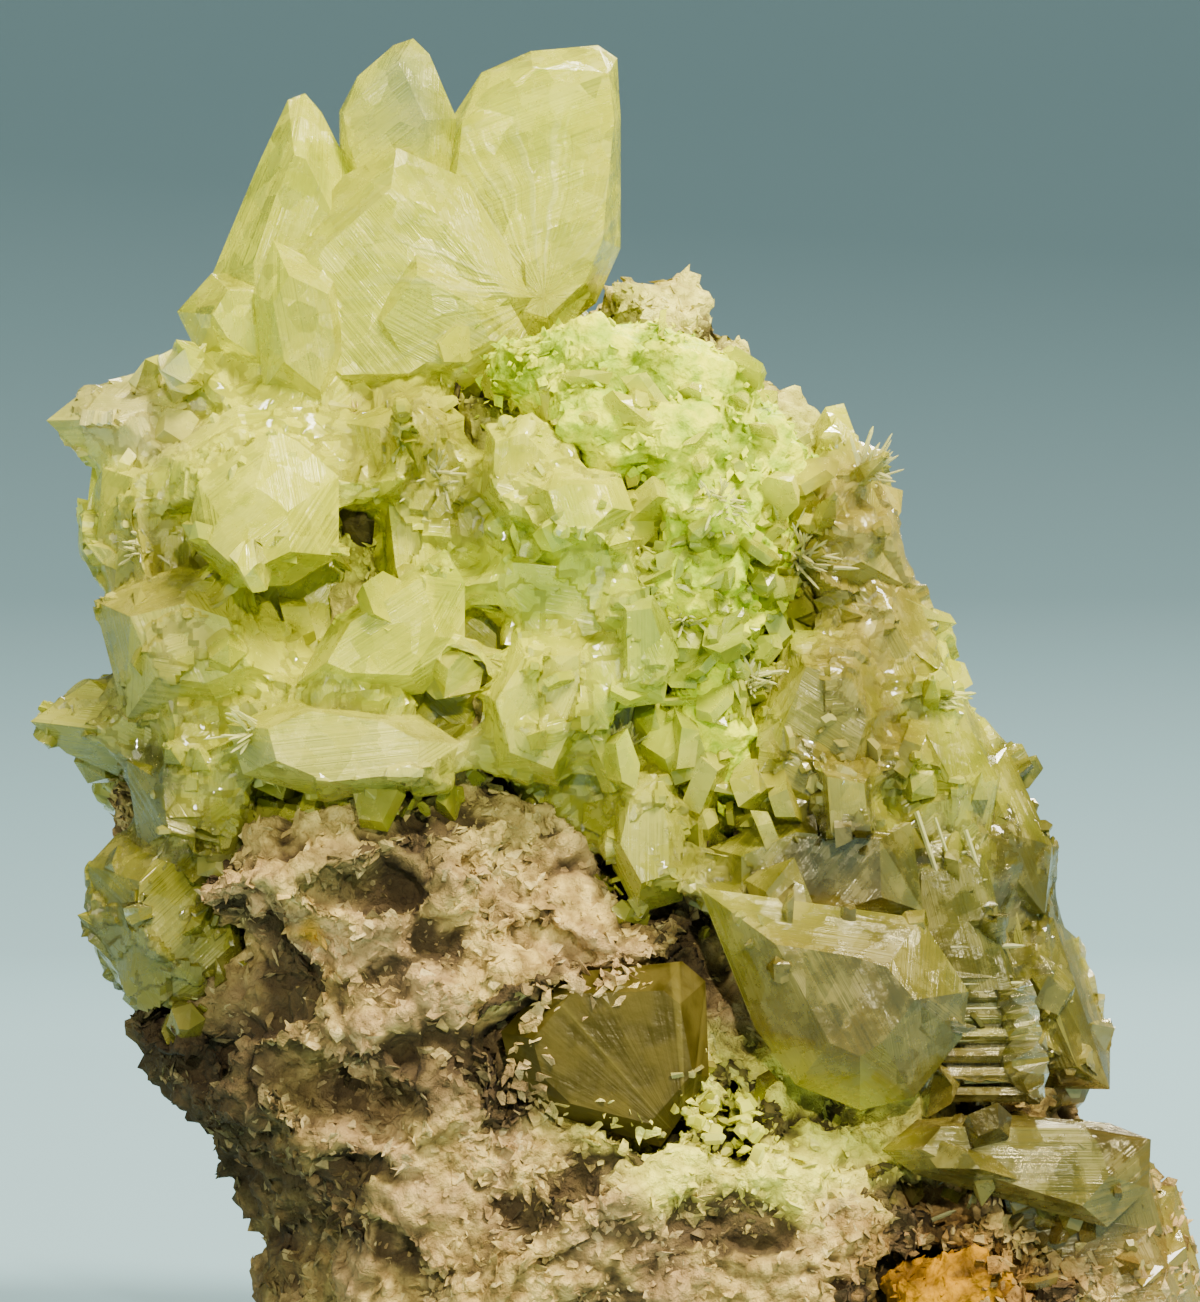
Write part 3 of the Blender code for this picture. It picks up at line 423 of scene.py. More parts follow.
def wandered(places, reach=0.7):
    """Shifts places by slow waves, so that the edges of the zones wander."""
    x, y, z = places.T
    shift = np.stack((
        np.sin(1.7 * z + 0.9 * y) + 0.6 * np.sin(3.9 * x + 1.3 * z),
        np.sin(1.4 * x + 1.1 * z) + 0.6 * np.sin(4.3 * y),
        np.sin(1.5 * x + 0.7 * y) + 0.6 * np.sin(3.6 * z + 2.1 * x),
    ), axis=1)
    return places + reach * 0.5 * shift


def soft_step(value, low, high):
    part = np.clip((value - low) / (high - low), 0, 1)
    return part * part * (3 - 2 * part)


def tinted(piece, zones, ground=None):
    """Notes the zone colour on every point. Alpha says how much of it shows, and is 1 where there's a ground."""
    places = wandered(places_of(piece))
    colour = np.zeros((len(places), 3))
    share = np.zeros(len(places))
    if ground is not None:
        colour = ground(places)
        share[:] = 1.0
    for middle, radii, zone_colour, strength in zones.values():
        reach = np.sqrt((((places - middle) / radii) ** 2).sum(axis=1))
        cover = strength * soft_step(reach, 1.25, 0.5)
        whole = share + cover - share * cover
        weight = np.divide(cover, whole, out=np.zeros_like(cover), where=whole > 1e-6)
        colour += (np.array(zone_colour) - colour) * weight[:, None]
        share = whole
    tint = piece.data.color_attributes.new("tint", "FLOAT_COLOR", "POINT")
    tint.data.foreach_set("color", np.column_stack((colour, share)).ravel())
    return piece


def ground_and_falloff_shade(places):
    """Lemon at the top, olive in the middle and amber at the foot, darker downwards partly as painted shade."""
    height = places[:, 2:]
    colour = np.array((0.26, 0.20, 0.04)) + np.zeros((len(places), 3))
    colour += (np.array((0.42, 0.41, 0.04)) - colour) * soft_step(height, 8.0, 18.0)
    colour += (np.array((0.86, 0.87, 0.035)) - colour) * soft_step(height, 17.0, 25.0)
    return colour


print("zones:", len(CRYSTAL_ZONES) + len(ROCK_ZONES))

# %% [markdown]
# The rock breaks along layers that dip to the right: thin ledges with ragged lips, dark gashes under them, and a
# sugary grain over all of it. Noise that is stretched along the layers and stepped like a staircase gives the ledges,
# cell noise gives the crumbs, and everything is pushed along the normals. How far each point was pushed is kept as an
# attribute, from which the rock's finish later paints shade into the hollows.

# %% Rock relief
LAYER_DIP = math.radians(24)
LEDGE_LENGTH = 3.6
LEDGE_STEP = 1.25
LEDGE_HEIGHT = 1.5
CRUMB_SIZE = 0.8
CRUMB_HEIGHT = 0.42
PIT_SIZE = 2.6
PIT_DEPTH = 1.3
DIP = Matrix.Rotation(LAYER_DIP, 3, "Y")


def stepped(value, steps, softness=0.25):
    """A staircase with slightly rounded edges."""
    scaled = value * steps
    whole = math.floor(scaled)
    part = (scaled - whole - 0.5) / softness
    return (whole + min(1.0, max(0.0, part + 0.5))) / steps


def rock_height(place):
    """How far the rock stands out at a place, in millimetres."""
    warp = noise.noise_vector(place / 1.3) * 0.7
    layered = DIP @ (place + warp)
    layered = Vector((layered.x / LEDGE_LENGTH, layered.y / LEDGE_LENGTH, layered.z / LEDGE_STEP))
    ledge = stepped(noise.noise(layered) * 0.5 + 0.5, 5)
    crumb, _ = noise.voronoi((place + warp * 0.5) / CRUMB_SIZE + Vector((0, 7.7, 0)))
    pit = noise.noise((place + warp) / PIT_SIZE + Vector((0, 0, 5.3)))
    height = LEDGE_HEIGHT * (ledge - 0.55)
    height += CRUMB_HEIGHT * (0.5 - crumb[0] * 1.2)
    height -= PIT_DEPTH * min(0.5, max(0.0, pit - 0.15) * 2.0)
    return height + 0.15 * noise.noise(place / 0.35) + 0.1 * noise.noise(place / 0.17)


def crumbled(piece, height_at, scale=1.0, sink=0.12):
    """Pushes the points of a fine mesh out or in by a height, and notes the height as an attribute."""
    mesh = piece.data
    relief = mesh.attributes.new("relief", "FLOAT", "POINT")
    heights = [height_at(vert.co / MM) for vert in mesh.vertices]
    places = []
    for vert, height in zip(mesh.vertices, heights):
        moved = vert.co + vert.normal * (height * scale - sink) * MM
        moved.z = max(moved.z, 0.0)
        places.append(moved)
    for vert, place in zip(mesh.vertices, places):
        vert.co = place
    relief.data.foreach_set("value", heights)
    mesh.shade_smooth()
    print(f"{piece.name}: relief from {min(heights):.2f} to {max(heights):.2f} mm")
    return piece


def kept(piece, belongs):
    """Keeps only the faces whose middle passes a test of its place in millimetres."""
    bm = bmesh.new()
    bm.from_mesh(piece.data)
    leaving = [face for face in bm.faces if not belongs(face.calc_center_median() / MM)]
    bmesh.ops.delete(bm, geom=leaving, context="FACES")
    bm.to_mesh(piece.data)
    bm.free()
    return piece


SPLIT = -2.0
OVERLAP = 0.3
rock_front = kept(netted(copy_of("rock_front", "matrix"), 0.195), lambda place: place.y < SPLIT + OVERLAP)
rock_back = kept(netted(copy_of("rock_back", "matrix"), 0.27), lambda place: place.y > SPLIT - OVERLAP)
crumbled(rock_front, rock_height)
crumbled(rock_back, rock_height)

# %% [markdown]
# The rock's colour is a dusty pink tan on the crumbs, and turns yellow under the crystals and lime beside the green
# crust. Painted shade darkens it to dark brown in the pits and in the creases between grains, and to nearly black
# brown in the undercut at the lower left. Each zone is a soft ellipsoid placed in millimetres, blurred by noise, so
# that it holds from every side.

# %% Rock finish
def rock_material(name, shade_offset):
    """The rock's finish, with painted shade in its hollows and in the creases between its grains. The loose crumbs on
    the rock share its zones, and get less of the painted hollow shade, by the shade offset.
    """
    f = Finish(name, Specular_IOR_Level=0.25)
    relief = f.attribute("relief") + (f.grain(0.5, 4.0) - 0.5) * 0.45
    wander = (f.grain(3.0) - 0.5) * 4.0
    tan = f.blend(f.grain(0.8, 4.0).between(0.35, 0.65), (0.34, 0.22, 0.055, 1), (0.76, 0.54, 0.15, 1))
    pink = f.blend(f.grain(3.0).between(0.42, 0.58) * 0.8, tan, (0.50, 0.32, 0.12, 1))
    yellow = f.blend(f.grain(0.7, 4.0).between(0.3, 0.7), (0.42, 0.33, 0.06, 1), (0.76, 0.63, 0.14, 1))
    upper = (f.z + wander).between(17.0, 21.0)
    colour = f.zoned(f.blend(upper, pink, yellow))
    colour = f.blend(f.attribute("facet").between(0.5, 1.0) * 0.8, colour, (0.34, 0.27, 0.10, 1), "SCREEN")
    grain = f.cells(0.5)
    # Painted shade: the creases between the grains are darkened for the shade in them.
    crease_shade = (grain + (f.grain(0.3) - 0.5) * 0.5).between(0.34, 0.7)
    colour = f.blend(crease_shade * 0.4, colour, f.blend(1.0, colour, (0.30, 0.25, 0.18, 1), "MULTIPLY"))
    # Painted shade: the hollows of the relief are coloured nearly black brown for the shade in them.
    hollow = relief.between(0.0 - shade_offset, -0.55 - shade_offset)
    colour = f.blend(hollow * 0.93, colour, (0.05, 0.030, 0.009, 1))
    f.wire(Base_Color=colour, Roughness=0.9 - 0.45 * f.cells(0.4).between(0.25, 0.05))
    f.bump(f.grain(0.2, 4.0, 0.7) * 0.7 - grain * 0.8, 1.0, 0.34)
    return f.material


crumbly_rock = rock_material("crumbly_rock", 0.0)
finished(tinted(rock_front, ROCK_ZONES), crumbly_rock, "crumbly_matrix", "matrix")
finished(tinted(rock_back, ROCK_ZONES), crumbly_rock, "crumbly_matrix")

# %% [markdown]
# Thousands of crumbs and small crystals sit on the larger forms. They are scattered by one Geometry Nodes tree: it
# puts points on the faces of a host, sets one of a few shapes on each point, turned roughly along the surface and
# scaled at random, and gives each a number of its own that its material reads as a tone. The tree ends by making the
# instances real, because a plain mesh is what other programs can read.

# %% Scatter tree
def scatter_tree():
    """Points on a host, one shape of a collection on each, made real and given a material."""
    tree = bpy.data.node_groups.new("scatter", "GeometryNodeTree")
    face = tree.interface
    face.new_socket("Host", in_out="INPUT", socket_type="NodeSocketGeometry")
    for name, kind in (
        ("Shapes", "NodeSocketCollection"),
        ("Per square metre", "NodeSocketFloat"),
        ("Smallest", "NodeSocketFloat"),
        ("Largest", "NodeSocketFloat"),
        ("Lean", "NodeSocketFloat"),
        ("Sink", "NodeSocketFloat"),
        ("Seed", "NodeSocketInt"),
        ("Material", "NodeSocketMaterial"),
    ):
        face.new_socket(name, in_out="INPUT", socket_type=kind)
    face.new_socket("Pieces", in_out="OUTPUT", socket_type="NodeSocketGeometry")

    def add(kind, **settings):
        made = tree.nodes.new(kind)
        for key, value in settings.items():
            setattr(made, key, value)
        return made

    def join(source, output, target, socket):
        tree.links.new(source.outputs[output], target.inputs[socket])

    given = add("NodeGroupInput")
    cover = add("GeometryNodeInputNamedAttribute", data_type="FLOAT")
    cover.inputs["Name"].default_value = "cover"
    density = add("ShaderNodeMath", operation="MULTIPLY")
    join(given, "Per square metre", density, 0)
    join(cover, "Attribute", density, 1)
    points = add("GeometryNodeDistributePointsOnFaces")
    join(given, "Host", points, "Mesh")
    join(density, 0, points, "Density")
    join(given, "Seed", points, "Seed")

    chance = add("FunctionNodeRandomValue", data_type="FLOAT")
    join(given, "Seed", chance, "Seed")
    bias = add("ShaderNodeMath", operation="POWER")
    join(chance, "Value", bias, 0)
    bias.inputs[1].default_value = 2.0
    span = add("ShaderNodeMapRange")
    join(bias, 0, span, "Value")
    join(given, "Smallest", span, "To Min")
    join(given, "Largest", span, "To Max")

    twist = add("FunctionNodeRandomValue", data_type="FLOAT_VECTOR")
    twist.inputs["Min"].default_value = (-1.0, -1.0, -math.pi)
    twist.inputs["Max"].default_value = (1.0, 1.0, math.pi)
    join(given, "Seed", twist, "Seed")
    lean = add("ShaderNodeCombineXYZ")
    join(given, "Lean", lean, "X")
    join(given, "Lean", lean, "Y")
    lean.inputs["Z"].default_value = 1.0
    leaning = add("ShaderNodeVectorMath", operation="MULTIPLY")
    join(twist, "Value", leaning, 0)
    join(lean, "Vector", leaning, 1)
    turn = add("FunctionNodeRotateRotation", rotation_space="LOCAL")
    join(points, "Rotation", turn, "Rotation")
    join(leaning, "Vector", turn, "Rotate By")

    back = add("ShaderNodeMath", operation="MULTIPLY")
    join(given, "Sink", back, 0)
    back.inputs[1].default_value = -1.0
    inward = add("ShaderNodeVectorMath", operation="SCALE")
    join(points, "Normal", inward, 0)
    join(back, 0, inward, "Scale")
    sunk = add("GeometryNodeSetPosition")
    join(points, "Points", sunk, "Geometry")
    join(inward, "Vector", sunk, "Offset")

    shapes = add("GeometryNodeCollectionInfo")
    join(given, "Shapes", shapes, "Collection")
    shapes.inputs["Separate Children"].default_value = True
    shapes.inputs["Reset Children"].default_value = True
    placed = add("GeometryNodeInstanceOnPoints")
    placed.inputs["Pick Instance"].default_value = True
    join(sunk, "Geometry", placed, "Points")
    join(shapes, "Instances", placed, "Instance")
    join(turn, "Rotation", placed, "Rotation")
    join(span, "Result", placed, "Scale")

    number = add("FunctionNodeRandomValue", data_type="FLOAT")
    shifted = add("ShaderNodeMath", operation="ADD")
    join(given, "Seed", shifted, 0)
    shifted.inputs[1].default_value = 5.0
    join(shifted, 0, number, "Seed")
    noted = add("GeometryNodeStoreNamedAttribute", data_type="FLOAT", domain="INSTANCE")
    noted.inputs["Name"].default_value = "facet"
    join(placed, "Instances", noted, "Geometry")
    join(number, "Value", noted, "Value")
    real = add("GeometryNodeRealizeInstances")
    join(noted, "Geometry", real, "Geometry")
    painted = add("GeometryNodeSetMaterial")
    join(real, "Geometry", painted, "Geometry")
    join(given, "Material", painted, "Material")
    result = add("NodeGroupOutput")
    join(painted, "Geometry", result, "Pieces")
    return tree


scatter = scatter_tree()
print("scatter tree:", len(scatter.nodes), "nodes")

# %% [markdown]
# The scattered shapes are convex hulls around a few points: chips of rock, and cerussite in its usual habits, a
# six-sided tablet, a pointed prism and a blade. Each has fewer than thirty faces, because there are thousands.

# %% Small shapes
def hull_shape(name, points, collection):
    bm = bmesh.new()
    for point in points:
        bm.verts.new(point)
    bmesh.ops.convex_hull(bm, input=bm.verts)
    bmesh.ops.dissolve_limit(bm, angle_limit=math.radians(2), verts=bm.verts, edges=bm.edges)
    bmesh.ops.recalc_face_normals(bm, faces=bm.faces)
    shape = bpy.data.meshes.new(name)
    bm.to_mesh(shape)
    bm.free()
    holder = bpy.data.objects.new(name, shape)
    collection.objects.link(holder)
    return holder


def tablet_points(width, thickness, shrink, tilt):
    """A six-sided tablet that stands on its edge, with slanted ends."""
    corners = []
    for side in (-1, 1):
        for turn in range(6):
            angle = math.radians(60 * turn + tilt)
            reach = shrink if side > 0 else 1.0
            corners.append((math.cos(angle) * width * reach, side * thickness, math.sin(angle) * reach + 0.45))
    return corners


def prism_points(radius, length, sides):
    """A prism with a blunt, slightly uneven point."""
    ring = [(math.cos(math.tau * k / sides) * radius, math.sin(math.tau * k / sides) * radius) for k in range(sides)]
    corners = [(x, y, -0.4) for x, y in ring]
    corners += [(x, y, length * (0.62 + 0.1 * (k % 2))) for k, (x, y) in enumerate(ring)]
    corners += [(radius * 0.25, 0, length), (-radius * 0.2, radius * 0.15, length * 0.97)]
    return corners


def shard_points(chance, length, width):
    """A broken, wedge-like crystal: an uneven prism with a slanted top."""
    corners = []
    for turn in range(5):
        angle = math.tau * (turn + chance.uniform(-0.3, 0.3)) / 5
        x = math.cos(angle) * width * chance.uniform(0.8, 1.2)
        y = math.sin(angle) * width * chance.uniform(0.4, 0.7)
        corners.append((x, y, -0.5))
        corners.append((x * chance.uniform(0.5, 0.95), y * chance.uniform(0.5, 0.95), length * chance.uniform(0.55, 1)))
    return corners


rng = random.Random(5)
small_crystals = bpy.data.collections.new("small_crystals")
hull_shape("tablet", tablet_points(0.62, 0.16, 0.86, 8), small_crystals)
hull_shape("thick_tablet", tablet_points(0.7, 0.30, 0.7, 24), small_crystals)
hull_shape("stout_prism", prism_points(0.42, 1.0, 6), small_crystals)
for number, (length, width) in enumerate(((0.8, 0.6), (1.1, 0.5), (0.7, 0.75), (0.95, 0.42), (0.6, 0.65))):
    hull_shape(f"shard_{number}", shard_points(rng, length, width), small_crystals)

chips = bpy.data.collections.new("chips")
for number in range(5):
    directions = [Vector([rng.gauss(0, 1) for _ in range(3)]).normalized() for _ in range(8)]
    stretch = Vector((rng.uniform(0.7, 1.2), rng.uniform(0.5, 0.9), rng.uniform(0.22, 0.5)))
    hull_shape(f"chip_{number}", [d * rng.uniform(0.75, 1.0) * stretch for d in directions], chips)


# %% Scattering
OVERHANG = 0.4


def covered(host, share):
    """Notes on the host how densely each point is to be covered, from a function of its place in millimetres."""
    cover = host.data.attributes.get("cover") or host.data.attributes.new("cover", "FLOAT", "POINT")
    values = [max(0.0, share(vert.co / MM, vert.index)) for vert in host.data.vertices]
    cover.data.foreach_set("value", values)
    return host


def scattered(name, host, shapes, material, per_mm2, sizes, lean, sink, seed):
    """A new piece with the shapes scattered over the host."""
    piece = bpy.data.objects.new(name, host.data.copy())
    bpy.context.scene.collection.objects.link(piece)
    modifier = piece.modifiers.new("scatter", "NODES")
    modifier.node_group = scatter
    values = {
        "Shapes": shapes,
        "Per square metre": per_mm2 / MM ** 2,
        "Smallest": sizes[0] * MM,
        "Largest": sizes[1] * MM,
        "Lean": lean,
        "Sink": sink * MM,
        "Seed": seed,
        "Material": material,
    }
    for socket in scatter.interface.items_tree:
        if socket.in_out == "INPUT" and socket.name in values:
            modifier[socket.identifier] = values[socket.name]
    return trimmed(settled(piece))


def trimmed(piece):
    """Takes out the shapes that would reach past the specimen's box or under its foot."""
    low = Vector(cad_box[0]) - Vector((OVERHANG, OVERHANG, 0)) * MM
    high = Vector(cad_box[1]) + Vector((OVERHANG, OVERHANG, OVERHANG)) * MM
    bm = bmesh.new()
    bm.from_mesh(piece.data)
    seen = set()
    outside = []
    for start in bm.verts:
        if start.index in seen:
            continue
        island = [start]
        seen.add(start.index)
        for vert in island:
            for edge in vert.link_edges:
                other = edge.other_vert(vert)
                if other.index not in seen:
                    seen.add(other.index)
                    island.append(other)
        if any(not (low[k] <= vert.co[k] <= high[k]) for vert in island for k in range(3)):
            outside.extend(island)
    bmesh.ops.delete(bm, geom=outside, context="VERTS")
    bm.to_mesh(piece.data)
    bm.free()
    return piece


print("scattering ready")

# %% Nearness
CRYSTAL_NODES = ("crown_crystals", "front_crystals", "right_flank_crystals", "foot_crystals", "back_crystals")


def nearness(nodes, places):
    """The distance of each place to the nearest of the nodes, in millimetres."""
    helper = joined("helper", nodes)
    bpy.context.view_layer.update()
    tree = BVHTree.FromObject(helper, bpy.context.evaluated_depsgraph_get())
    bpy.data.objects.remove(helper)
    return [tree.find_nearest(place)[3] / MM for place in places]


print("crystal solids:", len(CRYSTAL_NODES))

# %% [markdown]
# The crumbs on the rock are chips of a few tenths of a millimetre. They lie in patches and stay a little away from
# the crystals. On the real rock the pits are bare, because loose grains fall out of anything that isn't grown together.

# %% Rock crumbs
ROOM = 0.55


def crumb_cover(place, index):
    if closeness[index] < ROOM:
        return 0.0
    patch = noise.noise(place / 2.4 + Vector((9, 0, 0)))
    return 0.6 + 1.1 * patch


crumb_finish = rock_material("rock_crumbs", 0.3)
for name, host, per_mm2 in (("front_crumbs", rock_front, 16.0), ("back_crumbs", rock_back, 5.0)):
    closeness = nearness(CRYSTAL_NODES, [vert.co for vert in host.data.vertices])
    covered(host, crumb_cover)
    crumbs = tinted(scattered(name, host, chips, crumb_finish, per_mm2, (0.13, 0.5), 0.8, 0.03, 3), ROCK_ZONES)
    finished(crumbs, crumb_finish, "crumbly_matrix")

# %% [markdown]
# Each facet of a grown crystal differs a little from its neighbours in tone, and carries fine lines parallel to its
# longest edge, left by the layers that it grew in. So the facets are found first, as groups of faces that share a
# plane. Each group gets a tone, and each corner its distance across the growth lines, as attributes.

# %% Facets
def facets_marked(piece, seed, angle=12.0):
    """Finds the flat facets of a piece and notes a tone and a growth coordinate on each."""
    bm = bmesh.new()
    bm.from_mesh(piece.data)
    tone_layer = bm.faces.layers.float.new("facet")
    growth_layer = bm.loops.layers.float.new("growth")
    chance = random.Random(seed)
    limit = math.cos(math.radians(angle))
    seen = set()
    facets = 0
    for start in sorted(bm.faces, key=lambda face: -face.calc_area()):
        if start.index in seen:
            continue
        group = [start]
        seen.add(start.index)
        for face in group:
            for edge in face.edges:
                for other in edge.link_faces:
                    if other.index not in seen and other.normal.dot(start.normal) > limit:
                        seen.add(other.index)
                        group.append(other)
        facets += 1
        tone = chance.random()
        rim = [edge for face in group for edge in face.edges if edge.calc_face_angle(1.0) > 0.05]
        longest = max(rim or start.edges, key=lambda edge: edge.calc_length())
        along = (longest.verts[1].co - longest.verts[0].co).normalized()
        across = start.normal.cross(along)
        offset = chance.uniform(0, 50)
        for face in group:
            face[tone_layer] = tone
            for loop in face.loops:
                loop[growth_layer] = loop.vert.co.dot(across) / MM + offset
    bm.to_mesh(piece.data)
    bm.free()
    print(f"{piece.name}: {facets} facets")
    return piece


def swollen(piece, reach):
    """Moves every point outwards, to close the thin seams between the solids."""
    normals = [vert.normal.copy() for vert in piece.data.vertices]
    for vert, normal in zip(piece.data.vertices, normals):
        vert.co += normal * reach * MM
    return piece


print("facet helpers ready")

# %% [markdown]
# Cerussite is clear, with a very high refractive index that gives its diamond-like flashes. A clear shell alone
# looks like empty glass, because a real crystal is full of veils and growth layers, so a share of plain diffuse
# colour stays under the glass, and absorption tints what passes through a thick part. The colour is far more
# yellow here than it looks in the picture, because the picture's view transform pales bright colours.

# %% Crystal finish
def crystal_finish(name, clear=0.5, shatter=0.35, fan=None, thick=True, coat=0.25):
    """Glass with veils in it: a facet tone, growth lines, clouds, and many small inner faces."""
    f = Finish(name, IOR=1.5, Transmission_Weight=clear, Specular_IOR_Level=0.35, Specular_Tint=(1.0, 0.94, 0.6, 1),
               Coat_Weight=coat, Coat_IOR=1.7, Coat_Roughness=0.03, Coat_Tint=(1.0, 0.96, 0.62, 1))
    facet = f.attribute("facet")
    growth = f.attribute("growth")
    lines = f.node("ShaderNodeTexNoise", {"noise_dimensions": "1D"}, {"W": growth, "Scale": 3.4, "Detail": 4.0,
                                                                     "Roughness": 0.7})["Fac"]
    colour = f.zoned((0.8, 0.8, 0.05, 1))
    colour = f.blend(facet.between(0.6, 0.0) * 0.5, colour, f.blend(1.0, colour, (0.5, 0.5, 0.3, 1), "MULTIPLY"))
    colour = f.blend(facet.between(0.6, 1.0) * 0.8, colour, (0.15, 0.14, 0.015, 1), "SCREEN")
    veils = f.grain(1.1, 5.0, 0.65).between(0.46, 0.64)
    colour = f.blend(veils * 0.8, colour, (0.14, 0.12, 0.03, 1), "SCREEN")
    murk = f.grain(2.2, 4.0).between(0.48, 0.34)
    colour = f.blend(murk * 0.45, colour, f.blend(1.0, colour, (0.42, 0.48, 0.25, 1), "MULTIPLY"))
    relief = lines * 0.9 + f.grain(0.9, 3.0) * 0.6 + f.grain(0.2, 2.0) * 0.15
    if fan:
        aside, above = f.x - fan[0], f.z - fan[1]
        angle = f.x.combine("ARCTAN2", above, aside) + (f.grain(2.0) - 0.5) * 0.25
        rays = f.node("ShaderNodeTexNoise", {"noise_dimensions": "1D"}, {"W": angle, "Scale": 9.0, "Detail": 4.0})["Fac"]
        away = f.x.combine("SQRT", aside * aside + above * above)
        shown = away.between(7.5, 3.5) * rays.between(0.52, 0.68)
        colour = f.blend(shown * 0.7, colour, (0.45, 0.42, 0.16, 1), "SCREEN")
        relief = relief + rays * away.between(8.0, 4.0) * 1.2
    f.wire(Base_Color=colour, Roughness=0.16 + 0.3 * veils)
    broken = f.node("ShaderNodeTexVoronoi", {"feature": "F1"}, {"Vector": f.place, "Scale": 1.3})["Color"]
    normal = f.node("ShaderNodeNewGeometry")["Normal"]
    turned = f.node("ShaderNodeVectorMath", {"operation": "MULTIPLY_ADD"}, {0: broken, 1: (shatter,) * 3, 2: normal})[0]
    turned = f.node("ShaderNodeVectorMath", {"operation": "SUBTRACT"}, {0: turned, 1: (shatter / 2,) * 3})[0]
    turned = f.node("ShaderNodeVectorMath", {"operation": "NORMALIZE"}, {0: turned})[0]
    values = {"Height": relief, "Strength": 0.65, "Distance": 0.14 * MM, "Normal": turned}
    f.wire(Normal=f.node("ShaderNodeBump", {}, values)["Normal"])
    if thick:
        f.absorb((0.92, 0.93, 0.15, 1), 450.0)
    return f.material


clear_yellow = crystal_finish("clear_yellow_cerussite")
druse_yellow = crystal_finish("druse_cerussite", 0.5, 0.35, None, False, 0.25)
clearest = crystal_finish("clearest_cerussite", 0.62, 0.5, (-2.4, 35.4))

# %% [markdown]
# Between the large crystals the cluster is an angular mass of broken and half-grown ones, in which few facets are
# wider than two millimetres. It's made from a fine net over the cluster that is relaxed first, so that it fills the
# seams and drops below the large facets. Then a cell pattern is laid over it, and each cell is pushed to a flat facet
# of its own tilt, which also gets a tone and a direction for its growth lines.

# %% Angular mass
BARE_ZONES = (
    ((-11.4, 27.4), (2.6, 2.2)),
    ((-6.2, 24.2), (2.4, 1.8)),
    ((8.0, 12.2), (4.6, 4.4)),
    ((11.9, 11.6), (1.8, 3.0)),
    ((-8.6, 21.2), (3.0, 1.0)),
)


def bareness(place):
    """1 on the large, smooth facets of the front, which nothing overgrows, and 0 away from them."""
    if place.y > -3.0:
        return 0.0
    reach = min(math.hypot((place.x - m[0]) / r[0], (place.z - m[1]) / r[1]) for m, r in BARE_ZONES)
    return min(1.0, max(0.0, (1.25 - reach) / 0.4))


def shard_at(place, size):
    """The flat facet that a place lies on: its own number, its height over the place and a growth coordinate."""
    distances, points = noise.voronoi(place / size)
    seed = points[0]
    tilt = noise.noise_vector(seed * 6.1) * 1.4
    rise = noise.noise(seed * 4.3 + Vector((0, 0, 8.8)))
    away = place / size - seed
    tone = noise.noise(seed * 9.7) * 0.5 + 0.5
    return tone, away.dot(tilt) * 0.62 + rise * 0.3, (place).dot(noise.noise_vector(seed * 3.7).normalized())


def broken_up(piece, sizes=((2.2, 1.0), (0.9, 0.8))):
    """Pushes the fine net of a crystal cluster into flat facets of two sizes."""
    mesh = piece.data
    tones = []
    growth = []
    moved = []
    for vert in mesh.vertices:
        place = vert.co / MM
        height = 0.0
        for size, share in sizes:
            tone, shift, line = shard_at(place, size)
            height += shift * size * 0.5 * share
        tones.append(tone)
        growth.append(line)
        below_crown = min(1.0, max(0.0, (place.z - 32.4) / 0.8)) if place.y < 0 else 0.0
        height = max(-0.8, min(0.6, height)) - 0.7 * max(bareness(place), below_crown)
        moved.append(vert.co + vert.normal * height * MM)
    for vert, place in zip(mesh.vertices, moved):
        vert.co = place
    mesh.attributes.new("facet", "FLOAT", "POINT").data.foreach_set("value", tones)
    mesh.attributes.new("growth", "FLOAT", "POINT").data.foreach_set("value", growth)
    mesh.shade_smooth()
    mesh.set_sharp_from_angle(angle=math.radians(24))
    return piece


def relaxed(piece, times):
    """Smooths a net, so that its seams fill up and its corners wear off."""
    ease = piece.modifiers.new("ease", "SMOOTH")
    ease.factor = 0.6
    ease.iterations = times
    return settled(piece)


# %% Crystal clusters
GROWTH = 0.75


def grown_together(name, nodes, voxel):
    """A net over several clusters that closes every gap narrower than twice the growth."""
    mass = netted(swollen(joined(name, nodes), GROWTH), voxel)
    return relaxed(swollen(mass, 0.14 - GROWTH), 20)


for seed, (name, node) in enumerate((
    ("crown", "crown_crystals"),
    ("front", "front_crystals"),
    ("right", "right_flank_crystals"),
    ("foot", "foot_crystals"),
    ("back", "back_crystals"),
)):
    cluster = facets_marked(swollen(copy_of(name + "_cluster", node), 0.08), seed)
    finish = clearest if name == "crown" else clear_yellow
    finished(tinted(cluster, CRYSTAL_ZONES, ground_and_falloff_shade), finish, "clear_crystal", node)

MASS_TOP = 33.4
MASS_SPLIT = 2.5
front_nodes = ("crown_crystals", "front_crystals", "right_flank_crystals")
whole_mass = grown_together("whole_mass", front_nodes, 0.2)
front_mass = whole_mass.copy()
front_mass.name = "front_mass"
front_mass.data = whole_mass.data.copy()
bpy.context.scene.collection.objects.link(front_mass)
whole_mass.name = "right_mass"
kept(front_mass, lambda place: place.x < MASS_SPLIT + OVERLAP and place.z < MASS_TOP)
kept(whole_mass, lambda place: place.x > MASS_SPLIT - OVERLAP and place.z < MASS_TOP)
back_mass = grown_together("back_mass", ("back_crystals",), 0.24)
for mass in (front_mass, whole_mass, back_mass):
    finished(tinted(broken_up(mass), CRYSTAL_ZONES, ground_and_falloff_shade), druse_yellow, "clear_crystal")

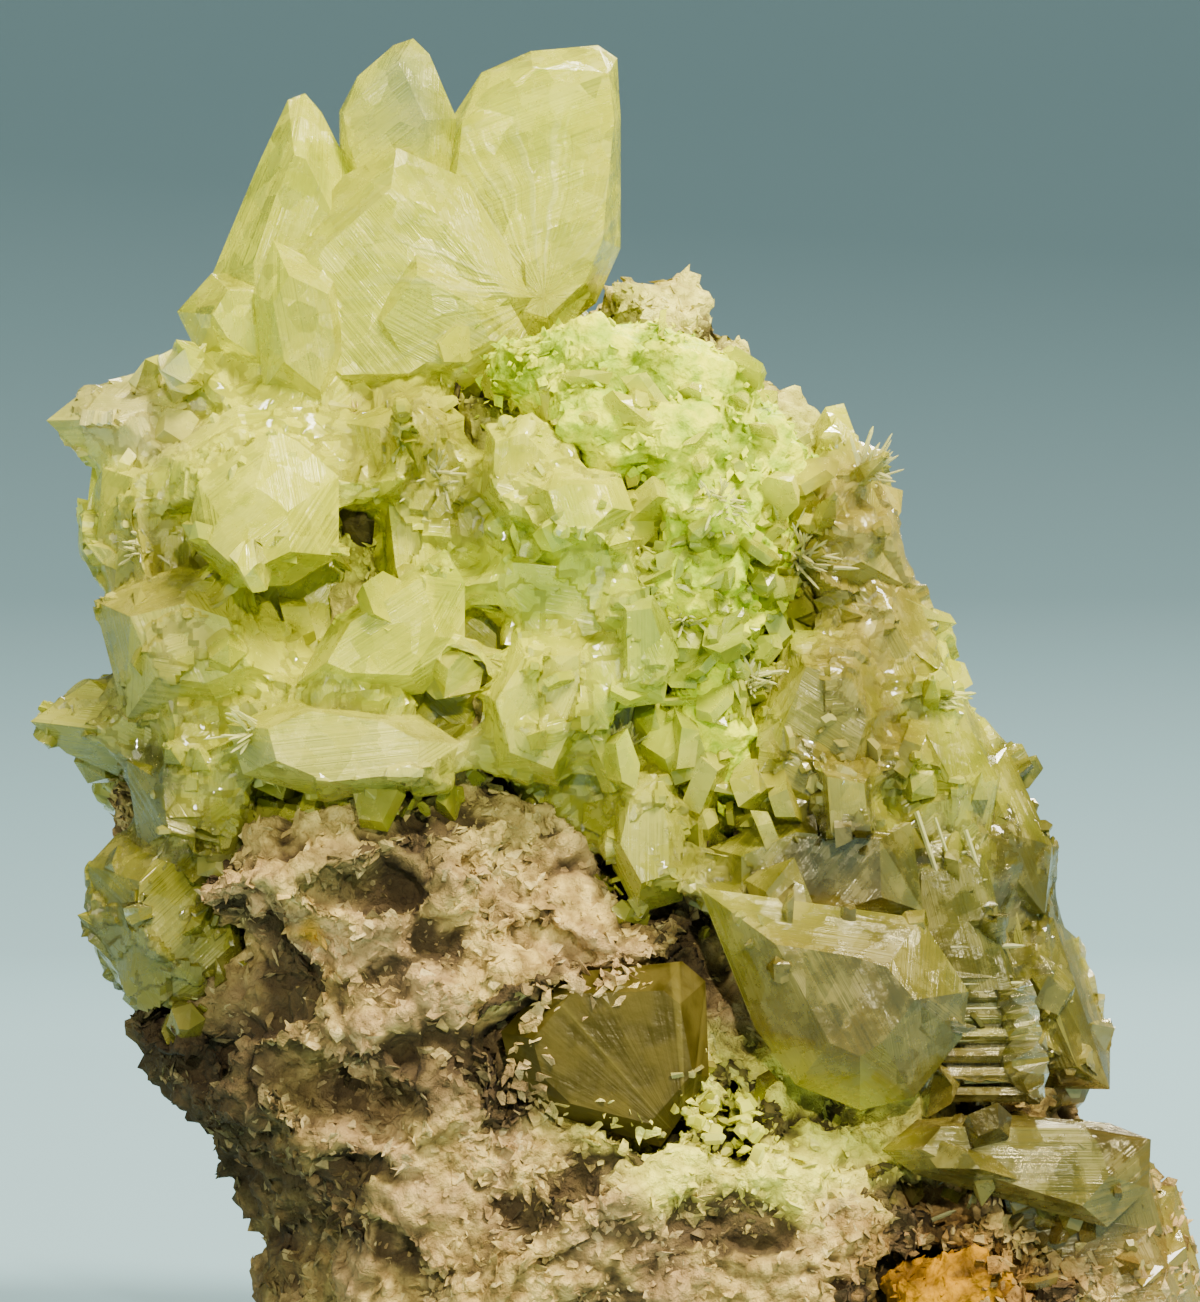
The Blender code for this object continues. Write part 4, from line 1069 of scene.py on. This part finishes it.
# %% [markdown]
# Between the large crystals sit hundreds of smaller ones, which fill every crevice. To find the crevices, one net is
# laid over all solids together and smoothed: where the smooth net stands above the rough one, there's a hollow. Each
# point of the net also notes how far it is from the crystals and from the lime crust, so that what is scattered on
# it can fade out around them. The net is only a helper and is removed again at the end.

# %% Net over the specimen
NET_SIZE = 0.3
bpy.context.view_layer.update()
net = netted(joined("net", solids), NET_SIZE)
rough = [vert.co.copy() for vert in net.data.vertices]
easy_net = net.copy()
easy_net.data = net.data.copy()
bpy.context.scene.collection.objects.link(easy_net)
relaxed(easy_net, 30)
crevice = [
    (easy.co - vert.co).dot(vert.normal) / MM for easy, vert in zip(easy_net.data.vertices, net.data.vertices)
]
bpy.data.objects.remove(easy_net)
to_crystal = nearness(CRYSTAL_NODES, rough)
to_lime = nearness(("green_crust",), rough)
print(f"net: {len(rough)} points, deepest crevice {max(crevice):.2f} mm")


# %% Filling crystals
def crevice_cover(place, index):
    if to_crystal[index] > 0.9:
        return 0.0
    deep = min(1.0, max(0.0, (crevice[index] - 0.04) / 0.2)) * (1.0 - bareness(place))
    open_sky = 1.0 if place.z < 31.5 else 0.0
    return open_sky * (0.04 + deep) * (0.8 + noise.noise(place / 2.0))


covered(net, crevice_cover)
for number, (per_mm2, sizes, sink) in enumerate(((1.6, (0.8, 2.2), 0.7), (2.6, (0.3, 0.9), 0.15))):
    filling = scattered(f"filling_{number}", net, small_crystals, druse_yellow, per_mm2, sizes, 0.8, sink, 60 + number)
    finished(tinted(filling, CRYSTAL_ZONES, ground_and_falloff_shade), druse_yellow, "clear_crystal")


# %% Small crystals
def sprig_cover(place, index):
    if bareness(place) > 0.5:
        return 0.0
    film = math.hypot((place.x - 4.6) / 3.4, (place.z - 9.2) / 1.9)
    if film < 1.0 and place.y < -4.0:
        return 2.4 * (1.0 - film * film)
    if to_crystal[index] > 0.5 or place.z > 34.5:
        return 0.0
    return 1.6 * noise.noise(place / 2.6 + Vector((0, 4, 0))) - 0.3


def sprig_finish():
    """Crystals too small for a heart of their own: clear, with their colour in the surface."""
    f = Finish("small_cerussite", IOR=1.6, Transmission_Weight=0.5, Specular_Tint=(1.0, 0.94, 0.6, 1))
    colour = f.zoned((0.8, 0.8, 0.05, 1))
    colour = f.blend(f.attribute("facet") * 0.4, colour, (0.96, 0.92, 0.30, 1))
    f.wire(Base_Color=colour, Roughness=0.04 + 0.2 * f.grain(0.6))
    return f.material


small_yellow = sprig_finish()
covered(net, sprig_cover)
sprigs = scattered("sprigs", net, small_crystals, small_yellow, 5.0, (0.13, 0.55), 0.9, 0.05, 23)
finished(tinted(sprigs, CRYSTAL_ZONES, ground_and_falloff_shade), small_yellow, "clear_crystal")

# %% [markdown]
# The olive crystal in the middle of the rock is darker and browner, with light silky streaks that fan out from its
# lower right corner.

# %% Olive crystal
def olive_finish():
    f = Finish("olive_cerussite", IOR=1.4, Transmission_Weight=0.5, Specular_IOR_Level=0.12,
               Specular_Tint=(1.0, 0.9, 0.5, 1))
    away = ((f.z - 8.0) / 5.0)
    side = ((f.x - 2.2) / 5.0)
    angle = away.combine("ARCTAN2", away, side * -1.0)
    rays = f.node("ShaderNodeTexNoise", {"noise_dimensions": "1D"}, {"W": angle, "Scale": 9.0, "Detail": 5.0})["Fac"]
    cloud = f.grain(1.2, 4.0).between(0.4, 0.65)
    colour = f.blend(cloud, (0.062, 0.046, 0.003, 1), (0.11, 0.082, 0.008, 1))
    colour = f.blend(rays.between(0.55, 0.75) * 0.6, colour, (0.20, 0.155, 0.025, 1))
    f.wire(Base_Color=colour, Roughness=0.3 + 0.3 * cloud)
    f.bump(rays * 0.4 + f.grain(0.6, 4.0) * 0.8, 0.6, 0.14)
    f.absorb((0.72, 0.62, 0.12, 1), 420.0)
    return f.material


olive = facets_marked(swollen(copy_of("olive_fan", "olive_crystal"), 0.08), 9)
finished(olive, olive_finish(), "olive_crystal", "olive_crystal")

# %% [markdown]
# The lime green crust is a crumbly film of its own. It takes the same relief as the rock at a smaller scale, in the
# brightest colour of the specimen, with painted shade in its hollows, and small crystals and crumbs break up its
# surface and its rim.

# %% Crusts
def crust_finish(name, pale, deep, dark):
    f = Finish(name, Specular_IOR_Level=0.05)
    relief = f.attribute("relief")
    colour = f.blend(f.grain(0.9, 4.0).between(0.35, 0.65), deep, pale)
    # Painted shade: the hollows of the crust's relief take its dark colour.
    colour = f.blend(relief.between(0.05, -0.4) * 0.8, colour, dark)
    f.wire(Base_Color=colour, Roughness=0.35 + 0.4 * f.grain(0.4))
    f.bump(f.grain(0.16, 3.0) * 0.7 + f.cells(0.3) * 0.6, 0.9, 0.14)
    return f.material


lime_crust = crust_finish("lime_crust", (0.76, 0.78, 0.0, 1), (0.42, 0.56, 0.0, 1), (0.13, 0.20, 0.0, 1))


def crust_height(place):
    crumb, _ = noise.voronoi(place / 1.1)
    grain, _ = noise.voronoi(place / 0.5 + Vector((4, 0, 0)))
    height = 0.55 * (0.5 - crumb[0]) + 0.3 * (0.5 - grain[0])
    return height + 0.5 * noise.noise(place / 1.6) + 0.12 * noise.noise(place / 0.2)


crust = crumbled(netted(copy_of("lime_coating", "green_crust"), 0.15), crust_height, 0.9, 0.05)
finished(crust, lime_crust, "green_crust", "green_crust")


def lime_cover(place, index):
    high = min(1.0, max(0.15, (place.z - 26.0) / 4.0))
    near = min(1.0, max(0.0, 1.0 - to_lime[index] / 1.6))
    return high * near * (0.7 + noise.noise(place / 1.5))


covered(net, lime_cover)
finished(scattered("lime_crumbs", net, chips, lime_crust, 7.0, (0.12, 0.42), 0.9, 0.0, 31), lime_crust, "green_crust")


def crust_sprig_cover(place, index):
    low = min(1.0, max(0.12, (30.0 - place.z) / 3.0))
    near = min(1.0, max(0.0, 1.0 - to_lime[index] / 1.2))
    return low * near


covered(net, crust_sprig_cover)
crust_crystals = scattered("crust_crystals", net, small_crystals, druse_yellow, 2.6, (0.4, 1.2), 0.8, 0.15, 32)
finished(tinted(crust_crystals, CRYSTAL_ZONES, ground_and_falloff_shade), druse_yellow, "clear_crystal")

rusty = crust_finish("rusty_crust", (0.42, 0.19, 0.0, 1), (0.12, 0.055, 0.003, 1), (0.03, 0.014, 0.003, 1))
rust = crumbled(netted(copy_of("rust_lump", "rust_crust"), 0.14), crust_height, 0.8, 0.0)
finished(rust, rusty, "rust_crust", "rust_crust")
covered(rust, lambda place, index: 1.0)
finished(scattered("rust_crumbs", rust, chips, rusty, 4.0, (0.12, 0.35), 0.9, 0.0, 33), rusty, "rust_crust")

# %% [markdown]
# Here and there the crystals end in sprays of needles that start from one point, and the terraced crystal at the
# right has thin growth steps, which show as bright, parallel lines. One more pale prism lies along the right edge of
# the blade at the top, as a painted highlight for the glint on that edge. Each needle and each step is a thin prism.
# A ray from the front finds the surface that it starts from.

# %% Needles and growth steps
SPRAYS = (
    ((3.3, 28.4), (0.2, -1.0, 0.3), 26, 0.8, 1.5),
    ((0.1, 20.6), (0.0, -0.5, 1.0), 20, 0.55, 2.6),
    ((-1.2, 20.9), (-0.3, -0.5, 1.0), 14, 0.5, 2.2),
    ((5.8, 26.8), (0.6, -0.7, 0.5), 22, 0.6, 2.8),
    ((-5.9, 29.4), (0.3, -0.8, 0.6), 14, 0.7, 1.8),
    ((8.1, 29.6), (0.6, -0.5, 0.8), 16, 0.5, 1.8),
    ((-11.6, 21.3), (-0.8, -0.7, 0.2), 10, 0.3, 2.0),
    ((2.2, 24.8), (0.1, -1.0, 0.2), 14, 0.8, 1.3),
    ((4.2, 22.8), (0.3, -1.0, 0.4), 14, 0.7, 1.6),
    ((10.4, 22.2), (0.7, -0.7, 0.2), 12, 0.5, 1.6),
    ((-15.4, 27.2), (-0.7, -0.7, 0.1), 10, 0.6, 1.2),
)
STEPS = (
    (10.6, 13.4, 13.0), (10.4, 12.9, 12.2), (10.9, 13.2, 11.9), (10.4, 12.7, 11.2), (10.5, 13.6, 10.9),
    (10.3, 13.7, 10.2), (11.2, 13.6, 9.9), (10.2, 13.8, 9.3), (10.8, 13.2, 14.2), (10.4, 12.6, 14.9),
)
STEP_AND_GLINT_LINES = [((left, z), (right, z + 0.06)) for left, right, z in STEPS]
STEP_AND_GLINT_LINES += [((9.7, 18.6), (10.7, 15.6)), ((10.3, 18.4), (11.4, 15.2)), ((11.3, 18.0), (12.0, 15.9))]
STEP_AND_GLINT_LINES += [((10.0, 17.9), (11.3, 18.1)), ((10.4, 17.0), (11.4, 17.3)), ((10.6, 16.2), (12.0, 16.4))]
# The last line is no growth step: it is a pale prism along the edge of the blade at the top, a painted highlight.
STEP_AND_GLINT_LINES += [((9.45, 5.2), (10.9, 5.8)), ((-6.55, 43.5), (-5.6, 41.7))]
net_tree = BVHTree.FromPolygons([vert.co for vert in net.data.vertices], [f.vertices for f in net.data.polygons])


def surface_at(x, z):
    """The front surface of the specimen at a place of the front view, in millimetres."""
    hit = net_tree.ray_cast(Vector((x, -40, z)) * MM, Vector((0, 1, 0)))[0]
    return hit / MM if hit else None


def add_prism(bm, start, end, radius, sides):
    """Adds a thin prism with a blunt point to a mesh. Places are in millimetres."""
    axis = end - start
    turn = axis.to_track_quat("Z", "Y").to_matrix()
    rings = []
    for share, width in ((0.0, 1.0), (0.85, 0.9), (1.0, 0.25)):
        ring = []
        for k in range(sides):
            angle = math.tau * k / sides
            corner = Vector((math.cos(angle) * radius * width, math.sin(angle) * radius * width, axis.length * share))
            ring.append(bm.verts.new((start + turn @ corner) * MM))
        rings.append(ring)
    for low, high in zip(rings, rings[1:]):
        for k in range(sides):
            bm.faces.new((low[k], low[(k + 1) % sides], high[(k + 1) % sides], high[k]))
    bm.faces.new(rings[-1])
    bm.faces.new(rings[0][::-1])


rng = random.Random(12)
bm = bmesh.new()
for (x, z), aim, count, spread, length in SPRAYS:
    foot = surface_at(x, z)
    for _ in range(count * 2):
        wide = Vector((rng.gauss(0, spread), rng.gauss(0, spread), rng.gauss(0, spread)))
        direction = (Vector(aim).normalized() + wide).normalized()
        if direction.y > 0.1:
            direction.y = -direction.y
        start = foot + Vector((rng.uniform(-0.3, 0.3), 0.2, rng.uniform(-0.3, 0.3)))
        add_prism(bm, start, start + direction * length * rng.uniform(0.3, 0.75), rng.uniform(0.035, 0.075), 4)
for (x0, z0), (x1, z1) in STEP_AND_GLINT_LINES:
    places = [surface_at(x0 + (x1 - x0) * k / 4, z0 + (z1 - z0) * k / 4) for k in range(5)]
    depth = sorted(place.y for place in places if place)[1] + 0.02
    add_prism(bm, Vector((x0, depth, z0)), Vector((x1, depth, z1)), rng.uniform(0.05, 0.09), 4)
bmesh.ops.recalc_face_normals(bm, faces=bm.faces)
mesh = bpy.data.meshes.new("needles")
bm.to_mesh(mesh)
bm.free()
bright_needles = bpy.data.objects.new("needles", mesh)
bpy.context.scene.collection.objects.link(bright_needles)
needle_finish = Finish("needle_cerussite", IOR=1.6, Transmission_Weight=0.5)
needle_tone = needle_finish.blend(0.55, needle_finish.zoned((0.8, 0.8, 0.05, 1)), (0.95, 0.92, 0.40, 1))
needle_finish.wire(Base_Color=needle_tone, Roughness=0.1 + 0.1 * needle_finish.grain(0.8))
tinted(trimmed(bright_needles), CRYSTAL_ZONES, ground_and_falloff_shade)
finished(bright_needles, needle_finish.material, "clear_crystal")


# %% [markdown]
# The olive crystal sits in the rock, so crumbs of rock lap over its rim.

# %% Olive rim
to_olive = nearness(("olive_crystal",), rough)
to_rock = nearness(("matrix",), rough)


def rim_cover(place, index):
    near = max(0.0, 1.0 - to_olive[index] / 0.5) * max(0.0, 1.0 - to_rock[index] / 1.1)
    return min(1.0, 4.0 * near) * max(0.0, 0.5 + 2.0 * noise.noise(place / 1.1))


def foot_cover(place, index):
    """Sugary crumbs lap over the lowest crystals at the right."""
    low = min(1.0, max(0.0, (5.2 + 0.9 * noise.noise(place / 1.5) - place.z - 0.25 * (place.x - 14.0)) / 0.8))
    beside = min(1.0, max(0.0, (place.x - 11.5) / 1.5))
    side = min(1.0, max(0.0, (place.x - 17.2) / 0.8)) if place.z < 9.5 else 0.0
    return max(low * beside, side)


covered(net, foot_cover)
foot_crumbs = scattered("foot_crumbs", net, chips, crumb_finish, 15.0, (0.15, 0.6), 0.9, 0.0, 42)
finished(tinted(foot_crumbs, ROCK_ZONES), crumb_finish, "crumbly_matrix")

covered(net, rim_cover)
olive_rim = scattered("olive_rim", net, chips, crumb_finish, 14.0, (0.15, 0.7), 0.9, 0.05, 41)
finished(tinted(olive_rim, ROCK_ZONES), crumb_finish, "crumbly_matrix")
bpy.data.objects.remove(net)
